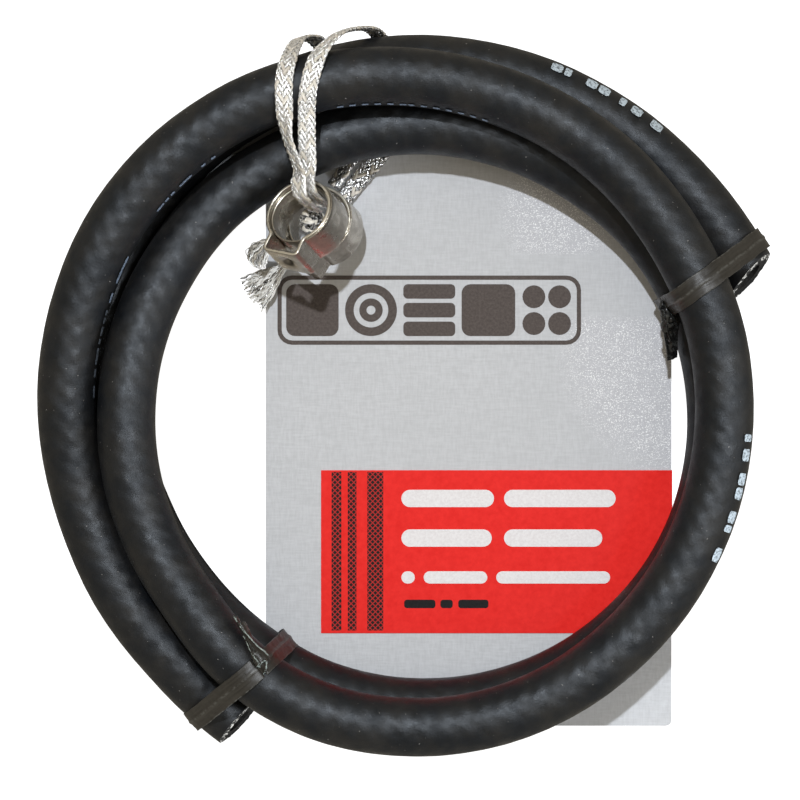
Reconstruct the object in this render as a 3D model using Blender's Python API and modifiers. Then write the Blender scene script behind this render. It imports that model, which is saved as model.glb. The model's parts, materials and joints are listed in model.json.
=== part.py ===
"""A spare hose for a floor pump, coiled and tied on its backing card.

The rubber hose lies in a loose coil of a little over two and a half turns, on top of
the card. Two twist ties hold the turns together. A doubled silver cord goes round the
turns at the card's top edge, and two one-ear hose clamps hang on it.
The set lies flat, the card's face up, with the surface it rests on at Z = 0.
"""

import math

import bmesh
import bpy
from mathutils import Matrix, Vector

MM = 0.001

# Driving dimensions, in millimetres and degrees
HOSE_LENGTH = 914.4
HOSE_DIAMETER = 10.3
BORE_DIAMETER = 4.8
COVER_WALL = 0.9
BRAID_WALL = 0.4
LAYER_GAP = 0.12
HOSE_POINTS = 76
COIL_CENTRE = Vector((-1.73, -1.43, 0.0))

CARD_WIDTH = 72.7
CARD_HEIGHT = 103.9
CARD_LEFT = -23.7
CARD_BOTTOM = -59.1
BOARD_THICKNESS = 0.9
PAPER_THICKNESS = 0.1
CARD_CORNERS = (1.0, 1.0, 1.0, 3.2)
CARD_UNDERSIDE = 0.14
SHEET_GAP = 0.04

LABEL_LEFT = -13.8
LABEL_BOTTOM = -42.5
LABEL_HEIGHT = 29.2
LABEL_FOLDED_BACK = 18.0
LABEL_THICKNESS = 0.1

CLAMP_DIAMETER = 12.6
CLAMP_WIDTH = 7.0
BAND_THICKNESS = 0.55
INSERT_THICKNESS = 0.3
INSERT_WIDTH = 6.4
INSERT_SLIT = 1.2
EAR_NECK = 7.4
EAR_WIDTH = 7.6
EAR_HEIGHT = 2.2
EAR_CORNER = 0.8

CORD_WIDTH = 3.1
CORD_THICKNESS = 0.8

TIE_WIDTH = 3.9
TIE_THICKNESS = 0.64
TIE_SLOT_WIDTH = 0.6
TIE_SLOT_HEIGHT = 0.4
TIE_WIRE_DIAMETER = 0.24
TIE_CLEARANCE = 0.22
TWIST_DIAMETER = 2.2

# The hose's route, seen from above, from its lower left end clockwise round the coil:
# bearing round the coil's centre, distance from it, and height of the hose's middle.
HOSE_ROUTE = (
    (244, 64.3, 6.9), (236, 62.7, 7.6), (228, 61.3, 9.0), (214, 60.0, 9.9),
    (202, 59.0, 10.5), (190, 58.6, 12.0), (180, 58.4, 13.6), (165, 58.1, 15.0),
    (150, 58.1, 15.9), (130, 57.7, 16.6), (110, 57.0, 17.0), (90, 56.0, 17.0),
    (70, 55.5, 17.1), (50, 55.5, 17.5), (30, 55.7, 17.9), (10, 56.7, 17.8),
    (-10, 57.5, 17.5), (-30, 58.2, 17.3), (-50, 58.7, 17.2), (-70, 58.8, 17.2),
    (-90, 57.9, 17.4), (-105, 56.7, 17.8), (-120, 54.5, 18.0), (-135, 51.4, 17.2),
    (-150, 49.9, 16.0), (-165, 48.7, 15.6), (-180, 47.6, 14.9), (-195, 46.9, 12.9),
    (-210, 46.5, 10.2), (-225, 46.6, 8.5), (-245, 46.6, 8.1), (-270, 47.9, 8.2),
    (-290, 49.2, 8.0), (-310, 51.0, 7.7), (-330, 53.5, 7.5), (-350, 55.5, 7.3),
    (-370, 57.1, 7.0), (-390, 58.0, 6.8), (-410, 57.8, 6.7), (-430, 56.7, 6.7),
    (-450, 55.1, 7.1), (-465, 53.7, 7.5), (-480, 51.9, 7.6), (-495, 50.6, 6.7),
    (-510, 49.9, 5.5), (-522, 49.9, 5.2), (-535, 51.1, 5.2), (-550, 53.4, 5.2),
    (-570, 55.9, 5.3), (-590, 57.2, 5.7), (-610, 57.9, 6.4), (-630, 59.0, 6.5),
    (-650, 60.3, 6.5), (-670, 61.9, 6.6), (-690, 64.2, 6.5), (-703, 66.4, 6.2),
)

# Clamps: middle of the ring, the way its axis points down, and where its ear points
UPPER_CLAMP_CENTRE = (-16.0, 30.8, 16.9)
UPPER_CLAMP_AXIS = (0.425, -0.443, -0.788)
UPPER_CLAMP_EAR = (-0.386, -0.878, 0.286)
LOWER_CLAMP_CENTRE = (-13.35, 30.2, 8.2)
LOWER_CLAMP_AXIS = (0.305, -0.268, -0.9135)
LOWER_CLAMP_EAR = (-0.53, -0.84, 0.07)

# Silver cord: middle line of each of its two flat strands, and the way its width faces.
# The part inside the upper clamp is given in the ring's own directions: across, away
# from the ear, and up its axis.
RIGHT_IN_RING = (
    ((1.1, 3.9, -1.6), (1.00, 0.00, 0.00)),
    ((1.0, 3.9, 0.8), (1.00, 0.00, 0.00)),
    ((0.6, 4.1, 3.4), (1.00, 0.00, 0.00)),
    ((0.0, 5.6, 4.9), (1.00, 0.10, 0.00)),
    ((-0.3, 7.6, 5.7), (0.95, 0.10, -0.20)),
)
RIGHT_STRAND = (
    ((-15.9, 45.3, 20.2), (1.00, 0.00, 0.00)),
    ((-15.8, 51.5, 22.0), (1.00, 0.00, 0.00)),
    ((-15.0, 55.9, 23.0), (1.00, 0.15, 0.00)),
    ((-13.4, 60.0, 22.0), (1.00, 0.30, 0.20)),
    ((-10.4, 63.4, 17.5), (1.00, 0.30, 0.50)),
    ((-7.0, 64.9, 11.5), (1.00, 0.10, 0.50)),
    ((-4.6, 65.1, 6.5), (1.00, 0.00, 0.40)),
    ((-3.0, 63.6, 2.0), (1.00, 0.00, 0.30)),
    ((-2.4, 60.6, 0.75), (1.00, 0.00, 0.00)),
    ((-2.0, 55.0, 0.60), (1.00, 0.00, 0.00)),
    ((-1.8, 50.0, 0.70), (1.00, 0.00, 0.00)),
    ((-1.8, 46.6, 1.60), (1.00, 0.00, 0.00)),
    ((-2.9, 43.6, 2.10), (0.90, -0.30, 0.00)),
    ((-5.0, 41.0, 2.30), (0.76, -0.65, 0.00)),
    ((-7.3, 38.3, 2.40), (0.76, -0.65, 0.00)),
    ((-9.9, 35.2, 2.60), (0.76, -0.65, 0.00)),
)
LEFT_IN_RING = (
    ((0.3, 2.4, -0.8), (1.00, 0.00, 0.00)),
    ((0.1, 2.3, 1.6), (1.00, 0.00, 0.00)),
    ((-0.3, 2.6, 4.2), (1.00, 0.00, 0.00)),
    ((-0.8, 4.4, 5.6), (1.00, 0.00, 0.00)),
    ((-1.4, 6.6, 6.6), (0.95, 0.00, -0.10)),
)
LEFT_STRAND = (
    ((-19.3, 45.2, 21.4), (1.00, 0.00, 0.00)),
    ((-19.8, 51.3, 22.6), (1.00, 0.00, 0.00)),
    ((-19.7, 55.6, 22.9), (1.00, 0.20, 0.00)),
    ((-18.8, 59.4, 20.8), (1.00, 0.30, 0.10)),
    ((-17.6, 62.4, 15.5), (1.00, 0.30, 0.20)),
    ((-16.2, 63.4, 9.5), (1.00, 0.25, 0.20)),
    ((-14.6, 63.4, 5.0), (1.00, 0.20, 0.20)),
    ((-12.6, 61.2, 1.3), (1.00, 0.20, 0.00)),
    ((-10.8, 57.6, 0.62), (0.95, 0.30, 0.00)),
    ((-8.4, 52.4, 0.60), (0.95, 0.20, 0.00)),
    ((-7.2, 48.6, 0.90), (1.00, 0.00, 0.00)),
    ((-6.9, 45.6, 1.85), (1.00, -0.10, 0.00)),
    ((-8.1, 43.0, 2.80), (0.80, -0.30, 0.40)),
    ((-9.7, 40.4, 3.30), (0.60, -0.35, 0.65)),
    ((-11.6, 37.5, 3.40), (0.60, -0.35, 0.65)),
)
KNOT_CENTRE = (-15.1, 30.8, 12.9)
KNOT_RADII = (2.4, 2.3, 1.9)

# Frayed ends of the cord: middle line with width and thickness at each place
UPPER_TASSEL = (
    ((-21.9, 27.4, 12.1), 2.0, 1.0),
    ((-23.4, 26.6, 10.6), 3.2, 1.6),
    ((-24.6, 25.5, 8.4), 4.4, 2.2),
    ((-25.2, 24.2, 7.0), 4.4, 2.0),
    ((-24.6, 23.2, 6.1), 3.4, 1.3),
)
LOWER_TASSEL = (
    ((-15.0, 30.3, 10.4), 1.8, 0.9),
    ((-14.3, 29.6, 8.0), 2.0, 1.0),
    ((-14.5, 28.4, 5.4), 2.2, 1.0),
    ((-16.1, 26.8, 3.6), 2.2, 1.0),
    ((-18.6, 24.8, 3.3), 2.0, 1.0),
    ((-20.8, 23.0, 3.6), 1.8, 1.2),
    ((-22.2, 21.7, 3.7), 3.2, 1.6),
    ((-23.8, 20.3, 3.3), 4.8, 1.7),
    ((-25.4, 18.9, 3.0), 6.0, 1.5),
    ((-26.7, 17.8, 2.7), 6.4, 0.9),
)
FRAY_SPREAD = Vector((0.70, -0.70, 0.15))

# Twist ties: a point the strap's plane passes through, and the strap's way across
RIGHT_TIE = ((47.2, 15.7), (0.817, 0.577))
RIGHT_TAIL = ((47.6, 14.4, 13.4), (47.9, 12.0, 12.6), (48.2, 9.6, 11.0), (48.6, 6.6, 9.4))
LEFT_TIE = ((-23.9, -46.9), (-0.76, -0.65))
LEFT_TAIL = ((-23.6, -46.3, 24.3), (-25.0, -43.9, 23.7), (-26.4, -41.3, 22.7), (-28.0, -38.3, 21.3))


def clear_scene():
    for obj in list(bpy.data.objects):
        bpy.data.objects.remove(obj, do_unlink=True)


def make_collection(name):
    collection = bpy.data.collections.new(name)
    bpy.context.scene.collection.children.link(collection)
    return collection


def make_material(name, colour, roughness, metallic=0.0):
    material = bpy.data.materials.new(name)
    material.use_nodes = True
    shader = material.node_tree.nodes["Principled BSDF"]
    shader.inputs["Base Color"].default_value = (*colour, 1.0)
    shader.inputs["Roughness"].default_value = roughness
    shader.inputs["Metallic"].default_value = metallic
    material.diffuse_color = (*colour, 1.0)
    return material


def add_object(name, data, material, collection):
    obj = bpy.data.objects.new(name, data)
    data.materials.append(material)
    collection.objects.link(obj)
    return obj


# ---------------------------------------------------------------- curves and lofts

def smooth_value(rows, x):
    """Reads a smooth curve through the rows, whose first column runs up or down."""
    way = 1 if rows[1][0] > rows[0][0] else -1
    i = 0
    while i < len(rows) - 2 and way * x > way * rows[i + 1][0]:
        i += 1
    before, start, end, after = rows[max(i - 1, 0)], rows[i], rows[i + 1], rows[min(i + 2, len(rows) - 1)]
    span = end[0] - start[0]
    t = (x - start[0]) / span
    values = []
    for k in range(1, len(start)):
        slope_in = (end[k] - before[k]) / (end[0] - before[0]) * span
        slope_out = (after[k] - start[k]) / (after[0] - start[0]) * span
        values.append(
            (2 * t**3 - 3 * t**2 + 1) * start[k]
            + (t**3 - 2 * t**2 + t) * slope_in
            + (3 * t**2 - 2 * t**3) * end[k]
            + (t**3 - t**2) * slope_out
        )
    return values


def smooth_points(points, steps):
    """Points along a smooth curve through the given points, with steps to each stretch."""
    rows = [(i, *point) for i, point in enumerate(points)]
    count = (len(points) - 1) * steps
    return [Vector(smooth_value(rows, i / steps)) for i in range(count + 1)]


def hose_line():
    """The hose's middle line, at even steps over its whole length."""
    fine = []
    first, last = HOSE_ROUTE[0][0], HOSE_ROUTE[-1][0]
    for i in range(2 * (first - last) + 1):
        bearing = first - i / 2
        radius, height = smooth_value(HOSE_ROUTE, bearing)
        angle = math.radians(bearing)
        fine.append(COIL_CENTRE + Vector((radius * math.cos(angle), radius * math.sin(angle), height)))
    step = HOSE_LENGTH / (HOSE_POINTS - 1)
    line = [fine[0]]
    travelled = 0.0
    for start, end in zip(fine, fine[1:]):
        length = (end - start).length
        while len(line) < HOSE_POINTS and travelled + length >= len(line) * step:
            line.append(start.lerp(end, (len(line) * step - travelled) / length))
        travelled += length
    return line


def add_tube(name, line, diameter, sides_level, material, collection, caps=True):
    """A round bar or tube along a line of points, in millimetres."""
    curve = bpy.data.curves.new(name, "CURVE")
    curve.dimensions = "3D"
    curve.bevel_depth = diameter / 2 * MM
    curve.bevel_resolution = sides_level
    curve.use_fill_caps = caps
    spline = curve.splines.new("POLY")
    spline.points.add(len(line) - 1)
    for spline_point, place in zip(spline.points, line):
        spline_point.co = (*(place * MM), 1.0)
    spline.use_smooth = True
    return add_object(name, curve, material, collection)


def add_pipe(name, line, diameter, wall, sides_level, material, collection):
    """An open-ended pipe along a line: a bare tube with its wall turned inward."""
    pipe = add_tube(name, line, diameter, sides_level, material, collection, caps=False)
    shell = pipe.modifiers.new("Wall", "SOLIDIFY")
    shell.thickness = wall * MM
    shell.offset = -1.0
    shell.use_even_offset = True
    return pipe


def flat_outline(width, thickness, corner=0.42):
    """Half-way round points of a flat strip's section: a rectangle with cut corners."""
    w, t = width / 2, thickness / 2
    c = min(w, t) * corner * 2
    return [(w, t - c), (w - c, t), (c - w, t), (-w, t - c), (-w, c - t), (c - w, -t), (w - c, -t), (w, c - t)]


def ring_of(frame, outline):
    centre, across, up = frame
    return [centre + across * x + up * y for x, y in outline]


def add_loft(name, frames, outlines, material, collection, hollows=None):
    """A solid or a hollow sleeve through one outline at each frame, in millimetres."""
    mesh = bpy.data.meshes.new(name)
    build = bmesh.new()

    def skin(shapes, inward):
        rings = []
        for frame, outline in zip(frames, shapes):
            rings.append([build.verts.new(place * MM) for place in ring_of(frame, outline)])
        for near, far in zip(rings, rings[1:]):
            for i in range(len(near)):
                j = (i + 1) % len(near)
                face = [near[i], near[j], far[j], far[i]]
                build.faces.new(face[::-1] if inward else face)
        return rings

    outer = skin(outlines, False)
    if hollows is None:
        build.faces.new(outer[0][::-1])
        build.faces.new(outer[-1])
    else:
        inner = skin(hollows, True)
        for i in range(len(outer[0])):
            j = (i + 1) % len(outer[0])
            build.faces.new([outer[0][j], outer[0][i], inner[0][i], inner[0][j]])
            build.faces.new([outer[-1][i], outer[-1][j], inner[-1][j], inner[-1][i]])
    bmesh.ops.recalc_face_normals(build, faces=build.faces)
    build.to_mesh(mesh)
    build.free()
    return add_object(name, mesh, material, collection)


def frames_along(line, sides):
    """Centre, across and up directions at each point of a line."""
    frames = []
    for i, centre in enumerate(line):
        ahead = (line[min(i + 1, len(line) - 1)] - line[max(i - 1, 0)]).normalized()
        across = (sides[i] - ahead * sides[i].dot(ahead)).normalized()
        frames.append((centre, across, across.cross(ahead).normalized()))
    return frames


# ---------------------------------------------------------------- hose

def room_inside(diameter, wall, sides):
    """Diameter of the layer that fits inside a many-sided pipe, clear of its flats."""
    return diameter * math.cos(math.pi / sides) - 2 * (wall + LAYER_GAP)


def make_hose(collection):
    rubber = make_material("Hose rubber", (0.020, 0.020, 0.022), 0.48)
    textile = make_material("Braid textile", (0.62, 0.61, 0.58), 0.9)
    lining = make_material("Lining rubber", (0.015, 0.015, 0.015), 0.6)
    line = hose_line()
    braid_diameter = room_inside(HOSE_DIAMETER, COVER_WALL, 12)
    liner_diameter = room_inside(braid_diameter, BRAID_WALL, 8)
    liner_wall = (liner_diameter - BORE_DIAMETER) / 2
    add_pipe("hose_cover", line, HOSE_DIAMETER, COVER_WALL, 4, rubber, collection)
    add_pipe("hose_braid", line, braid_diameter, BRAID_WALL, 2, textile, collection)
    add_pipe("hose_liner", line, liner_diameter, liner_wall, 2, lining, collection)
    return line


# ---------------------------------------------------------------- card and label

def rounded_sheet(name, width, height, corners, thickness, material, collection):
    """A flat sheet, its lower left corner at the origin.

    The corner radii run from the lower right one, counterclockwise.
    """
    curve = bpy.data.curves.new(name, "CURVE")
    curve.dimensions = "2D"
    curve.fill_mode = "BOTH"
    curve.extrude = thickness / 2 * MM
    outline = []
    places = ((width, 0.0, -90), (width, height, 0), (0.0, height, 90), (0.0, 0.0, 180))
    for (x, y, start), corner in zip(places, corners):
        middle_x = min(max(x, corner), width - corner)
        middle_y = min(max(y, corner), height - corner)
        outline += arc(middle_x, middle_y, corner, start, start + 90, 4)
    add_outline(curve, outline)
    return add_object(name, curve, material, collection)


def arc(x, y, radius, start, end, steps):
    turns = [math.radians(start + (end - start) * i / steps) for i in range(steps + 1)]
    return [(x + radius * math.cos(turn), y + radius * math.sin(turn)) for turn in turns]


def add_outline(curve, outline):
    spline = curve.splines.new("POLY")
    spline.points.add(len(outline) - 1)
    for spline_point, (x, y) in zip(spline.points, outline):
        spline_point.co = (x * MM, y * MM, 0.0, 1.0)
    spline.use_cyclic_u = True


def card_matrix(height):
    """Places a sheet of the card at a height above the surface it lies on."""
    corner = Vector((CARD_LEFT, CARD_BOTTOM, height)) + COIL_CENTRE
    return Matrix.Translation(corner * MM)


def make_card(collection):
    board = make_material("Grey board", (0.42, 0.40, 0.37), 0.9)
    paper = make_material("Linen paper", (0.58, 0.60, 0.63), 0.75)
    sheets = (
        ("card_back_paper", PAPER_THICKNESS, paper),
        ("card_board", BOARD_THICKNESS, board),
        ("card_front_paper", PAPER_THICKNESS, paper),
    )
    base = CARD_UNDERSIDE
    for name, thickness, material in sheets:
        sheet = rounded_sheet(
            name, CARD_WIDTH, CARD_HEIGHT, CARD_CORNERS, thickness, material, collection
        )
        sheet.matrix_world = card_matrix(base + thickness / 2)
        base += thickness + SHEET_GAP
    return base - SHEET_GAP


def make_label(collection, card_top):
    """The red label: stuck on the face and folded round the card's right edge."""
    red = make_material("Label red", (0.80, 0.035, 0.03), 0.35)
    left = LABEL_LEFT - CARD_LEFT
    right = CARD_WIDTH + SHEET_GAP
    top = card_top + SHEET_GAP
    under = CARD_UNDERSIDE - SHEET_GAP
    thick = LABEL_THICKNESS
    back_from = right - LABEL_FOLDED_BACK
    section = [
        (left, top), (right, top), (right, under), (back_from, under),
        (back_from, under - thick), (right + thick, under - thick),
        (right + thick, top + thick), (left, top + thick),
    ]
    curve = bpy.data.curves.new("card_label", "CURVE")
    curve.dimensions = "2D"
    curve.fill_mode = "BOTH"
    curve.extrude = LABEL_HEIGHT / 2 * MM
    add_outline(curve, section)
    label = add_object("card_label", curve, red, collection)
    middle = LABEL_BOTTOM - CARD_BOTTOM + LABEL_HEIGHT / 2
    stand_up = Matrix.Rotation(math.radians(90), 4, "X")
    label.matrix_world = card_matrix(0.0) @ Matrix.Translation((0.0, middle * MM, 0.0)) @ stand_up


# ---------------------------------------------------------------- hose clamps

def clamp_matrix(centre, axis, ear):
    """Ring axis along local Z, towards its upper rim; the ear along local -Y."""
    up = -Vector(axis).normalized()
    out = Vector(ear)
    out = (out - up * out.dot(up)).normalized()
    side = (-out).cross(up).normalized()
    turn = Matrix((side, -out, up)).transposed().to_4x4()
    return Matrix.Translation((Vector(centre) + COIL_CENTRE) * MM) @ turn


def band_outline(radius, neck_half, ear_half, ear_face, corner):
    """One side of the band: round the ring and out over the ear, at -Y."""
    neck = math.degrees(math.asin(neck_half / radius))
    outline = arc(0.0, 0.0, radius, neck - 90, 270 - neck, 40)
    outline += arc(corner - ear_half, corner - ear_face, corner, 180, 270, 3)
    outline += arc(ear_half - corner, corner - ear_face, corner, 270, 360, 3)
    return outline


def make_clamp(name, centre, axis, ear, collection, steel):
    place = clamp_matrix(centre, axis, ear)
    radius = CLAMP_DIAMETER / 2
    band = bpy.data.curves.new(name + "_band", "CURVE")
    band.dimensions = "2D"
    band.fill_mode = "BOTH"
    band.extrude = CLAMP_WIDTH / 2 * MM
    ear_face = radius + EAR_HEIGHT
    for inset in (0.0, BAND_THICKNESS):
        add_outline(band, band_outline(
            radius - inset, EAR_NECK / 2 - inset, EAR_WIDTH / 2 - inset, ear_face - inset, EAR_CORNER - inset
        ))
    add_object(name + "_band", band, steel, collection).matrix_world = place

    outer = radius - BAND_THICKNESS - 0.2
    inner = outer - INSERT_THICKNESS
    half_slit = math.degrees(INSERT_SLIT / 2 / outer)
    insert = bpy.data.curves.new(name + "_insert", "CURVE")
    insert.dimensions = "2D"
    insert.fill_mode = "BOTH"
    insert.extrude = INSERT_WIDTH / 2 * MM
    ends = (90 + half_slit, 450 - half_slit)
    add_outline(insert, arc(0.0, 0.0, outer, *ends, 36) + arc(0.0, 0.0, inner, *ends, 36)[::-1])
    add_object(name + "_insert", insert, steel, collection).matrix_world = place


def make_clamps(collection):
    steel = make_material("Stainless steel", (0.55, 0.53, 0.50), 0.28, 1.0)
    make_clamp("upper_clamp", UPPER_CLAMP_CENTRE, UPPER_CLAMP_AXIS, UPPER_CLAMP_EAR, collection, steel)
    make_clamp("lower_clamp", LOWER_CLAMP_CENTRE, LOWER_CLAMP_AXIS, LOWER_CLAMP_EAR, collection, steel)


# ---------------------------------------------------------------- silver cord

def add_strand(name, in_ring, route, material, collection):
    """A flat strand that starts inside the upper clamp and goes on round the coil."""
    ring = clamp_matrix(UPPER_CLAMP_CENTRE, UPPER_CLAMP_AXIS, UPPER_CLAMP_EAR)
    places = [ring @ (Vector(row[0]) * MM) / MM for row in in_ring]
    faces = [ring.to_3x3() @ Vector(row[1]) for row in in_ring]
    places += [Vector(row[0]) + COIL_CENTRE for row in route]
    faces += [Vector(row[1]) for row in route]
    line = smooth_points(places, 2)
    sides = smooth_points(faces, 2)
    outline = flat_outline(CORD_WIDTH, CORD_THICKNESS)
    frames = frames_along(line, sides)
    return add_loft(name, frames, [outline] * len(frames), material, collection)


def add_tassel(name, rows, material, collection):
    line = [point + COIL_CENTRE for point in smooth_points([row[0] for row in rows], 3)]
    sizes = smooth_points([(row[1], row[2]) for row in rows], 3)
    sides = [FRAY_SPREAD] * len(line)
    outlines = [flat_outline(width, thickness) for width, thickness in sizes]
    return add_loft(name, frames_along(line, sides), outlines, material, collection)


def make_cord(collection):
    silver = make_material("Silver thread", (0.70, 0.68, 0.62), 0.35, 0.8)
    add_strand("cord_strand_right", RIGHT_IN_RING, RIGHT_STRAND, silver, collection)
    add_strand("cord_strand_left", LEFT_IN_RING, LEFT_STRAND, silver, collection)
    add_tassel("cord_tassel_upper", UPPER_TASSEL, silver, collection)
    add_tassel("cord_tassel_lower", LOWER_TASSEL, silver, collection)
    mesh = bpy.data.meshes.new("cord_knot")
    build = bmesh.new()
    bmesh.ops.create_uvsphere(build, u_segments=12, v_segments=8, radius=MM)
    bmesh.ops.scale(build, vec=KNOT_RADII, verts=build.verts)
    build.to_mesh(mesh)
    build.free()
    mesh.shade_smooth()
    knot = add_object("cord_knot", mesh, silver, collection)
    knot.location = (Vector(KNOT_CENTRE) + COIL_CENTRE) * MM


# ---------------------------------------------------------------- twist ties

def strap_crossings(line, point, way):
    """Where the hose's turns cross the strap's upright plane: distance, height, stretch.

    A turn that crosses the plane at a slant shows a section wider than the hose is, and
    moves sideways under the width of the strap.
    """
    point, way = Vector((*point, 0.0)) + COIL_CENTRE, Vector((*way, 0.0)).normalized()
    normal = way.cross(Vector((0.0, 0.0, 1.0)))
    places = []
    for i, (start, end) in enumerate(zip(line, line[1:])):
        near, far = (start - point).dot(normal), (end - point).dot(normal)
        if near * far <= 0.0:
            place = start.lerp(end, near / (near - far))
            nearby = line[max(i - 1, 0):i + 3]
            runs = [(b - a).normalized() for a, b in zip(nearby, nearby[1:])]
            slant = max(math.acos(abs(run.dot(normal))) for run in runs)
            stretch = 1.0 / math.cos(slant) + math.tan(slant) * TIE_WIDTH / HOSE_DIAMETER
            if abs((place - point).dot(way)) < 3 * HOSE_DIAMETER:
                places.append(((place - point).dot(way), place.z, stretch))
    return point, way, places


def strap_loop(places, radius, steps):
    """The shortest closed loop round the turns' sections, as evenly spaced points."""
    rim = []
    for x, z, stretch in places:
        rim += [(x + across * stretch, z + up) for across, up in arc(0.0, 0.0, radius, 0, 355, 71)]
    rim = sorted(rim)
    hull = []
    for side in (rim, rim[::-1]):
        chain = []
        for corner in side:
            while len(chain) > 1 and turn_of(chain[-2], chain[-1], corner) <= 0.0:
                chain.pop()
            chain.append(corner)
        hull += chain[:-1]
    closed = hull + hull[:1]
    lengths = [math.dist(a, b) for a, b in zip(closed, closed[1:])]
    points = []
    travelled = 0.0
    step = sum(lengths) / steps
    for (a, b), length in zip(zip(closed, closed[1:]), lengths):
        while len(points) < steps and travelled + length > len(points) * step:
            t = (len(points) * step - travelled) / length
            points.append((a[0] + (b[0] - a[0]) * t, a[1] + (b[1] - a[1]) * t))
        travelled += length
    return points


def turn_of(a, b, c):
    return (b[0] - a[0]) * (c[1] - b[1]) - (b[1] - a[1]) * (c[0] - b[0])


def make_tie(name, line, place, tail, collection, plastic, wire_steel):
    """A strap round the turns, open where its ends meet in the twist, its wire, and the twist."""
    point, way, places = strap_crossings(line, *place)
    radius = HOSE_DIAMETER / 2 + TIE_CLEARANCE + TIE_THICKNESS / 2
    loop = strap_loop(places, radius, 44)
    twist = Vector(tail[0]) + COIL_CENTRE
    ring = [point + way * x + Vector((0.0, 0.0, z)) for x, z in loop]
    gap = TWIST_DIAMETER / 2 + TIE_CLEARANCE + 0.6
    nearest = min(range(len(ring)), key=lambda i: (ring[i] - twist).length)
    ring = ring[nearest:] + ring[:nearest]
    strap = [place for place in ring if (place - twist).length > gap]
    across = way.cross(Vector((0.0, 0.0, 1.0)))
    frames = frames_along(strap, [across] * len(strap))
    outlines = [flat_outline(TIE_WIDTH, TIE_THICKNESS)] * len(frames)
    slots = [flat_outline(TIE_SLOT_WIDTH, TIE_SLOT_HEIGHT)] * len(frames)
    add_loft(name + "_strap", frames, outlines, plastic, collection, slots)
    add_tube(name + "_wire", strap[1:-1], TIE_WIRE_DIAMETER, 1, wire_steel, collection)
    twist_line = [place + COIL_CENTRE for place in smooth_points(tail, 3)]
    add_tube(name + "_twist", twist_line, TWIST_DIAMETER, 2, plastic, collection)


def make_ties(collection, line):
    plastic = make_material("Tie plastic", (0.045, 0.040, 0.030), 0.35)
    wire_steel = make_material("Tie wire", (0.45, 0.45, 0.45), 0.4, 1.0)
    make_tie("right_tie", line, RIGHT_TIE, RIGHT_TAIL, collection, plastic, wire_steel)
    make_tie("left_tie", line, LEFT_TIE, LEFT_TAIL, collection, plastic, wire_steel)


def main():
    clear_scene()
    collection = make_collection("Pump hose set")
    line = make_hose(collection)
    card_top = make_card(collection)
    make_label(collection, card_top)
    make_clamps(collection)
    make_cord(collection)
    make_ties(collection, line)


main()
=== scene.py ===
"""The floor pump hose kit, dressed: coiled hose, card, clamps, silver cord and twist ties."""

import json
import math
import random

import bpy
from mathutils import Matrix, Vector, kdtree, noise

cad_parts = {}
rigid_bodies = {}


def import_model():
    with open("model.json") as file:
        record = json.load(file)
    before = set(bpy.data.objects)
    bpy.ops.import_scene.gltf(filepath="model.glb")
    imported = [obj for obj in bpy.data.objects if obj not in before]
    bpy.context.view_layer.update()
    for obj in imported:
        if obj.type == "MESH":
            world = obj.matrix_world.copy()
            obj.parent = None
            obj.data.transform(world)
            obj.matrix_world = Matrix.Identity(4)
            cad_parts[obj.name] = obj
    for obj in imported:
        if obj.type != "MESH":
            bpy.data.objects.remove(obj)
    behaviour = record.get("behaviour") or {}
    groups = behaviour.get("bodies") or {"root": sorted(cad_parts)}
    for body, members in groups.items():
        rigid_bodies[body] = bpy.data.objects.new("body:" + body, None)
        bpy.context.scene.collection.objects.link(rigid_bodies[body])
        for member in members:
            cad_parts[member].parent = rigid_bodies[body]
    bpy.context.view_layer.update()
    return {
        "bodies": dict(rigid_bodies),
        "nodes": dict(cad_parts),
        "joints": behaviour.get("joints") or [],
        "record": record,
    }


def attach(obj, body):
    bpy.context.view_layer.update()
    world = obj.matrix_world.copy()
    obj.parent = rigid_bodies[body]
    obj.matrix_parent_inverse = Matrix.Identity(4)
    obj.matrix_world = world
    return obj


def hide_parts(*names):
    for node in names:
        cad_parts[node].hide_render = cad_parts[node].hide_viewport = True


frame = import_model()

MM = 0.001
UP = Vector((0.0, 0.0, 1.0))
RANDOM = random.Random(7)

ROOT = "hose_on_card"

# The same dimensions and routes as the solids have, in millimetres
COIL_CENTRE = Vector((-1.73, -1.43, 0.0))
HOSE_LENGTH = 914.4
HOSE_RADIUS = 5.15
BORE_RADIUS = 2.4
CLAMP_RADIUS = 6.3
CLAMP_WIDTH = 7.0
BAND_THICKNESS = 0.55
BAND_STEP = 0.28
INSERT_THICKNESS = 0.3
INSERT_WIDTH = 6.4
INSERT_SLIT = 1.2
EAR_NECK = 7.4
EAR_WIDTH = 7.6
EAR_HEIGHT = 2.2
EAR_CORNER = 0.8
CORD_WIDTH = 3.1
CORD_THICKNESS = 0.8
TIE_WIDTH = 3.9
TIE_THICKNESS = 0.64
HOSE_CLEARANCE = 0.08
TWIST_DIAMETER = 2.2

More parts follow.
